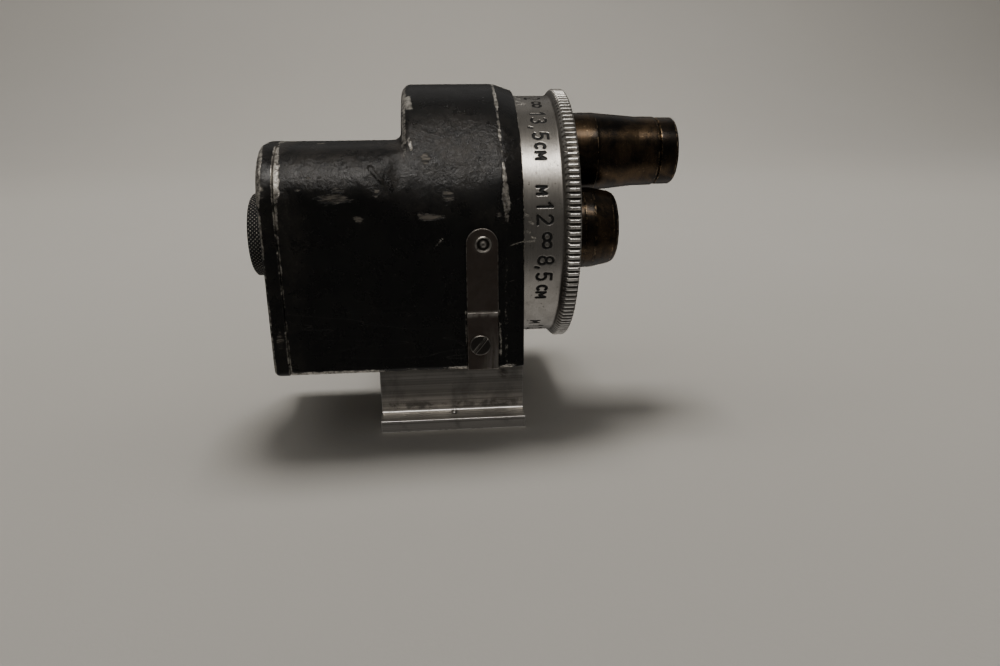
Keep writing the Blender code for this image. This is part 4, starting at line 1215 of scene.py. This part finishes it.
GLYPH = {          # strokes in units of the glyph height, centred
    "1": [[(-0.17, 0.27), (0.06, 0.5), (0.06, -0.5)]],
    "2": [arc(0.0, 0.24, 0.27, 0.26, 165, -25, 12) + [(-0.28, -0.5), (0.30, -0.5)]],
    "3": [arc(-0.01, 0.25, 0.24, 0.25, 140, -80, 12), arc(-0.01, -0.23, 0.28, 0.27, 85, -145)],
    "5": [[(0.24, 0.5), (-0.19, 0.5), (-0.24, 0.05)]
          + arc(-0.01, -0.19, 0.27, 0.31, 135, -140)],
    "8": [arc(0.0, 0.26, 0.22, 0.24, 0, 360, 22), arc(0.0, -0.24, 0.27, 0.26, 0, 360, 24)],
    ",": [[(0.02, 0.06), (-0.05, -0.16)]],
    "c": [arc(0.04, 0.0, 0.34, 0.5, 50, 310, 18)],
    "M": [[(-0.40, -0.5), (-0.38, 0.5), (0.0, -0.15), (0.38, 0.5), (0.40, -0.5)]],
    "oo": [arc(-0.36, 0.0, 0.34, 0.36, 0, 360, 22), arc(0.36, 0.0, 0.34, 0.36, 0, 360, 22)],
}
DIGIT, LETTER = 2.10, 1.32       # glyph heights
SCALE_R = 18.5                   # radius of the scale band


def decimal(whole, tenth):
    return [(whole, -9.6, 13.57, DIGIT), (",", -12.9, 12.45, DIGIT),
            (tenth, -17.5, 13.42, DIGIT), ("c", -23.8, 13.26, LETTER), ("M", -28.0, 13.19, LETTER)]


# glyph, degrees from the objective's angle, x, height
DISTANCES = [("M", 20.9, 13.0, LETTER), ("1", 14.3, 13.4, DIGIT), ("2", 8.4, 13.4, DIGIT),
             ("oo", -0.7, 13.68, 1.55)]
FOCAL_LENGTHS = {      # by the objective's angle
    72: [("1", -9.9, 13.45, DIGIT), ("3", -15.1, 13.45, DIGIT), (",", -19.9, 12.2, DIGIT),
         ("5", -24.9, 13.4, DIGIT), ("c", -30.3, 13.2, LETTER), ("M", -35.2, 13.15, LETTER)],
    0: decimal("8", "5"),
    -72: [("5", -9.6, 13.45, DIGIT), ("c", -15.5, 13.25, LETTER), ("M", -20.0, 13.2, LETTER)],
    -144: decimal("3", "5"),
    144: decimal("2", "8"),
}
# x and degrees of one end, x and degrees of the other, half width
TICKS = ((10.45, -0.95, 11.95, -0.75, 0.11), (10.55, 11.3, 10.95, 10.5, 0.16),
         (11.15, 8.0, 11.6, 7.0, 0.15), (10.8, 3.8, 11.2, 3.0, 0.14),
         (11.5, 1.0, 11.95, 0.6, 0.15))


def turned_from(angle, base):
    """Degrees from base to angle, between -180 and 180."""
    return (angle - base + 180) % 360 - 180


def scale_marks(angle, x):
    """Signed distances to the engraved figures (ink) and to the bright ticks (mark)."""
    ink, mark = np.full(angle.shape, 9.0), np.full(angle.shape, 9.0)
    for base, figures in FOCAL_LENGTHS.items():
        for glyph, shift, glyph_x, height in DISTANCES + figures:
            u = -np.radians(turned_from(angle, base + shift)) * SCALE_R
            v = x - glyph_x
            close = (np.abs(u) < 2.6) & (np.abs(v) < 2.2)
            best = ink[close]
            half_width = 0.165 if height > 2 else 0.175
            for stroke in GLYPH[glyph]:
                points = [(a * height, b * height) for a, b in stroke]
                for p, q in zip(points, points[1:]):
                    distance = segment_distance(u[close], v[close], p, q)
                    best = np.minimum(best, distance - half_width)
            ink[close] = best
        offset = turned_from(angle, base)
        close = np.abs(offset) < 16
        u = -np.radians(offset[close]) * SCALE_R
        for x_a, turn_a, x_b, turn_b, half_width in TICKS:
            a, b = (-radians(turn_a) * SCALE_R, x_a), (-radians(turn_b) * SCALE_R, x_b)
            distance = segment_distance(u, x[close], a, b)
            mark[close] = np.minimum(mark[close], distance - half_width)
    return ink, mark


def scale_profile():
    """Closed loop of (x, radius), closely spaced at the notches, the figures and the knurl."""
    def level(radius, start, end, step):
        return [(x, radius) for x in np.arange(start, end, step)]

    return np.array(
        [(13.9, 17.2), (0.5, 17.2), (0.5, 18.25), (0.56, 18.42), (0.72, SCALE_R)]
        + level(SCALE_R, 1.1, 3.0, 0.4) + level(SCALE_R, 3.0, 6.2, 0.16)
        + level(SCALE_R, 6.5, 10.0, 0.5) + level(SCALE_R, 10.05, 15.75, 0.075)
        + [(15.85, 18.51), (15.95, 18.56), (16.05, 18.66), (16.2, 18.84), (16.35, 19.03),
           (16.45, 19.14), (16.55, 19.25), (16.65, 19.36), (16.75, 19.44), (16.88, 19.5)]
        + level(19.5, 17.0, 18.1, 0.13)
        + [(18.12, 19.5), (18.22, 19.44), (18.32, 19.34), (18.40, 19.22), (18.45, 19.05),
           (18.45, 18.7), (18.45, 18.0), (18.45, 17.5), (18.38, 17.40), (18.28, 17.35),
           (15.1, 17.35), (15.1, 16.3), (13.9, 16.3)])


def scale_ring():
    seg = 1400
    teeth = 140
    profile = scale_profile()
    rows = len(profile)
    angle = np.repeat((360.0 * np.arange(seg) / seg)[None], rows, 0)      # 0 towards -Y, 90 up
    x = np.repeat(profile[:, 0][:, None], seg, 1)
    radius = np.repeat(profile[:, 1][:, None], seg, 1)
    outside = radius > 18.4
    # engraving
    band = outside & (x > 10.0) & (x < 16.0)
    ink, mark = np.full(x.shape, 1.0), np.full(x.shape, 1.0)
    band_ink, band_mark = scale_marks(angle[band], x[band])
    ink[band], mark[band] = np.clip(band_ink, -1, 1), np.clip(band_mark, -1, 1)
    radius = radius - 0.13 * ramp(-ink, -0.05, 0.06) - 0.04 * ramp(-mark, -0.04, 0.06)
    # click notches, under the drum
    for k in range(5):
        around = np.radians(turned_from(angle, LENS_STEP * k)) * SCALE_R
        q = np.hypot(around, x - PIN[0])
        radius = np.where(outside, radius - np.clip(1.05 - q, 0, 0.75), radius)
    # straight knurl, its depth a little uneven
    groove = 1 - ramp(np.abs((angle / (360.0 / teeth)) % 1.0 - 0.5), 0.05, 0.36)
    depth = 0.94 + 0.10 * np.sin(np.radians(angle * 3)) * np.sin(np.radians(angle * 7) + 1.0)
    knurled = (x > 16.3) & (radius > 18.9)
    wear = np.where(knurled, np.clip(1 - groove * 2.2, 0, 1) * (radius > 19.0), 0.0)
    dirt = np.where(knurled, groove, 0.0) ** 1.5
    radius = np.where(knurled, np.minimum(radius, 19.5 - 0.42 * groove * depth), radius)
    # grime where the knurl rises from the band, and a rubbed front edge
    foot_line = np.exp(-((x - 16.0) / 0.14) ** 2) * (radius < 18.8) * (radius > 18.4)
    dirt = np.maximum(dirt, foot_line * 0.7)
    wear = np.maximum(wear, np.exp(-((x - 18.43) / 0.06) ** 2) * (radius > 18.6) * 0.6)
    t = np.radians(angle)
    verts = np.stack([x, TUR_Y - radius * np.cos(t), AX_Z + radius * np.sin(t)], -1)
    attrs = {"wear": wear, "dirt": dirt, "ink": ink, "mark": mark, "turn_u": t * SCALE_R,
             "turn_v": np.repeat(run_length(profile)[:, None], seg, 1)}
    build("scale_ring", verts.reshape(-1, 3), ring_quads(rows, seg), "turret", "turret_ring",
          "satin_nickel", attrs)


scale_ring()

# ---------------------------------------------------------------- objectives
AT_135, AT_85 = spot(1, LENS_R), spot(0, LENS_R)
lathe("objective_135_barrel",
      [(14.7, 3.9), (14.7, 4.4), (17.93, 4.4), (17.93, 5.85), (22.55, 5.85), (22.65, 5.80),
       (25.5, 5.55), (28.9, 5.2), (31.95, 5.15), (32.08, 5.02), (32.25, 4.95), (32.25, 4.58),
       (33.2, 4.58), (33.2, 4.1), (20.0, 4.1), (19.0, 3.9)],
      "turret", "lens_tube_135", "lacquered_brass", AT_135, seg=192, rad=0.10, step=0.4)
lathe("objective_135_rim",
      [(32.32, 4.64), (32.32, 4.88), (32.42, 5.02), (33.2, 5.03), (34.72, 5.02), (35.03, 4.75),
       (35.05, 4.55), (35.02, 3.9), (34.72, 3.9), (34.72, 4.64)],
      "turret", "lens_rim_135", "lacquered_brass", AT_135, seg=192, rad=0.07, step=0.3)
lens("objective_135_glass", (33.1, 33.5), (35.0, 34.6), 4.45, "turret", "lens_135", AT_135)
lathe("objective_85_barrel",
      [(14.7, 3.8), (14.7, 4.4), (17.93, 4.4), (17.93, 5.9), (19.52, 5.9), (19.58, 5.85),
       (19.64, 5.9), (20.95, 5.9), (21.02, 5.84), (21.1, 5.88), (23.7, 5.35), (24.28, 5.06),
       (24.58, 4.65), (24.6, 4.5), (24.5, 4.0), (24.15, 4.0), (24.15, 4.4), (20.5, 4.4),
       (20.0, 3.8)],
      "turret", "lens_tube_85", "lacquered_brass", AT_85, seg=192, rad=0.05, step=0.35)
lens("objective_85_glass", (22.6, 23.0), (24.5, 24.0), 4.3, "turret", "lens_85", AT_85)
tube("objective_85_retainer", 21.9, 22.5, 3.7, 4.34, "turret", "lens_ring_85",
     "black_anodised", AT_85, rad=0.06)


def short_objective(tag, k, face, seat):
    """Flat objective at turret place k: x of its front face, and x its glass is placed from."""
    at = spot(k, LENS_R)
    lathe("objective_%s_cell" % tag,
          [(seat - 1.9, 3.75), (seat - 1.9, 4.4), (17.93, 4.4), (17.93, 5.4),
           (face - 0.12, 5.4), (face, 5.25), (face, 4.75), (face - 0.1, 4.68),
           (face - 0.1, 4.5), (face, 4.42), (face, 4.15), (seat + 0.95, 3.5),
           (seat + 0.65, 3.5), (seat + 0.65, 3.75)],
          "turret", "lens_cell_" + tag, "black_anodised", at, seg=144, rad=0.06, step=0.3)
    lens("objective_%s_glass" % tag, (seat - 0.85, seat - 0.45), (seat + 0.93, seat + 0.35),
         3.66, "turret", "lens_" + tag, at)
    tube("objective_%s_retainer" % tag, seat - 1.6, seat - 1.0, 3.1, 3.7, "turret",
         "lens_ring_" + tag, "brass", at, rad=0.05)


short_objective("50", 4, face=19.0, seat=17.2)
short_objective("35", 3, face=18.7, seat=15.4)
short_objective("28", 2, face=18.7, seat=14.4)

# ---------------------------------------------------------------- pieces that keep the CAD shape
KEPT = {
    "prism": ("prism_entrance", "prism_roof"),
    "alloy": ("prism_bracket",),
    "spring_steel": ("prism_clip",),
    "black_anodised": ("field_mask",),
    "steel": ("bracket_screw_1", "bracket_screw_2", "eyepiece_key", "axle_flange_screw_1",
              "axle_flange_screw_2", "axle_flange_screw_3", "turret_axle"),
}
for material, names in KEPT.items():
    for name in names:
        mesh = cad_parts[name].data
        mesh.materials.clear()
        mesh.materials.append(MATERIALS[material])


# ======================================================================
# stage, light, camera (metres)
# ======================================================================
def paper_floor(half_width=1.5, bend_y=0.30, bend_r=0.35):
    """Paper that lies flat, then curves up behind the piece (+Y)."""
    angles = [radians(90.0 * i / 12) for i in range(1, 13)]
    profile = [(-0.6, 0.0), (0.10, 0.0), (bend_y, 0.0)]      # (y, z)
    profile += [(bend_y + bend_r * sin(a), bend_r - bend_r * cos(a)) for a in angles]
    profile.append((0.65, 1.4))
    verts = [(x, y, z) for y, z in profile for x in (-half_width, half_width)]
    faces = [(2 * i, 2 * i + 1, 2 * i + 3, 2 * i + 2) for i in range(len(profile) - 1)]
    mesh = bpy.data.meshes.new("paper_floor")
    mesh.from_pydata(verts, [], faces)
    mesh.shade_smooth()
    ob = bpy.data.objects.new("paper_floor", mesh)
    bpy.context.scene.collection.objects.link(ob)
    m = Material("pale_paper")
    cloud = m.noise(9, detail=4, rough=0.6)
    m.set("Base Color", m.mix(cloud, (0.535, 0.515, 0.475), (0.57, 0.55, 0.51)))
    m.set("Roughness", 0.9)
    m.set("Specular IOR Level", 0.15)
    m.bump(m.noise(1400, detail=4, rough=0.6), strength=0.12, distance=0.0002)
    mesh.materials.append(m.mat)
    return ob


def area_light(name, direction, distance, size, power, target, colour):
    """Rectangular light at a distance from its target, facing it."""
    light = bpy.data.lights.new(name, "AREA")
    light.shape = "RECTANGLE"
    light.size, light.size_y = size
    light.energy = power
    light.color = colour
    light.spread = pi
    ob = bpy.data.objects.new(name, light)
    bpy.context.scene.collection.objects.link(ob)
    towards = Vector(direction).normalized()
    ob.location = Vector(target) + towards * distance
    ob.rotation_euler = towards.to_track_quat("Z", "Y").to_euler()
    return ob


ground = paper_floor()
key = area_light("key_soft", direction=(-0.05, -0.46, 0.88), distance=0.60, size=(0.42, 0.17),
                 power=1.60, target=(0.0, 0.0, 0.028), colour=(1.0, 0.965, 0.92))
overhead = area_light("overhead_soft", direction=(0.03, 0.30, 0.95), distance=0.62,
                      size=(0.20, 0.17), power=2.05, target=(0.0, 0.0, 0.0),
                      colour=(1.0, 0.97, 0.93))
rim = area_light("rim_soft", direction=(0.10, 0.70, 0.72), distance=0.9, size=(0.9, 0.5),
                 power=0.15, target=(0.0, 0.1, 0.0), colour=(1.0, 0.98, 0.95))
wash = area_light("backdrop_wash", direction=(0.0, -0.60, 0.80), distance=0.55, size=(0.9, 0.3),
                  power=1.05, target=(0.0, 0.50, 0.06), colour=(1.0, 0.97, 0.93))
key.visible_diffuse = False
overhead.visible_glossy = False
wash.visible_glossy = False
ground.visible_glossy = False      # reflections see the world's bright lower half instead


def room():
    """World light: bright below like a lit table, dark at eye level, faint above."""
    world = bpy.data.worlds.new("room")
    bpy.context.scene.world = world
    world.use_nodes = True
    g = Graph(world.node_tree)
    incoming = g.node("ShaderNodeNewGeometry", {}, output="Incoming")
    down = g.node("ShaderNodeSeparateXYZ", {0: incoming}, output="Z")      # 1 looking down
    table = down.smooth(0.50, 0.92, to=(0.068, 0.34))
    ceiling = down.smooth(-0.1, -0.9, to=(0.0, 0.06))
    background = world.node_tree.nodes["Background"]
    g.put(background.inputs[0], (1.0, 0.965, 0.92, 1.0))
    g.put(background.inputs[1], table + ceiling)


def camera():
    data = bpy.data.cameras.new("photo_view")
    data.sensor_width = 36.0
    data.lens = 27.16
    data.sensor_fit = "HORIZONTAL"
    data.clip_start = 0.005
    ob = bpy.data.objects.new("photo_view", data)
    bpy.context.scene.collection.objects.link(ob)
    right = (0.99588, -0.09053, -0.00461, 0)
    up = (0.03429, 0.32907, 0.94368, 0)
    back = (-0.08391, -0.93996, 0.33081, 0)
    place = (-0.00217, -0.1103, 0.05051, 1)
    ob.matrix_world = Matrix((right, up, back, place)).transposed()
    bpy.context.scene.camera = ob


room()
camera()
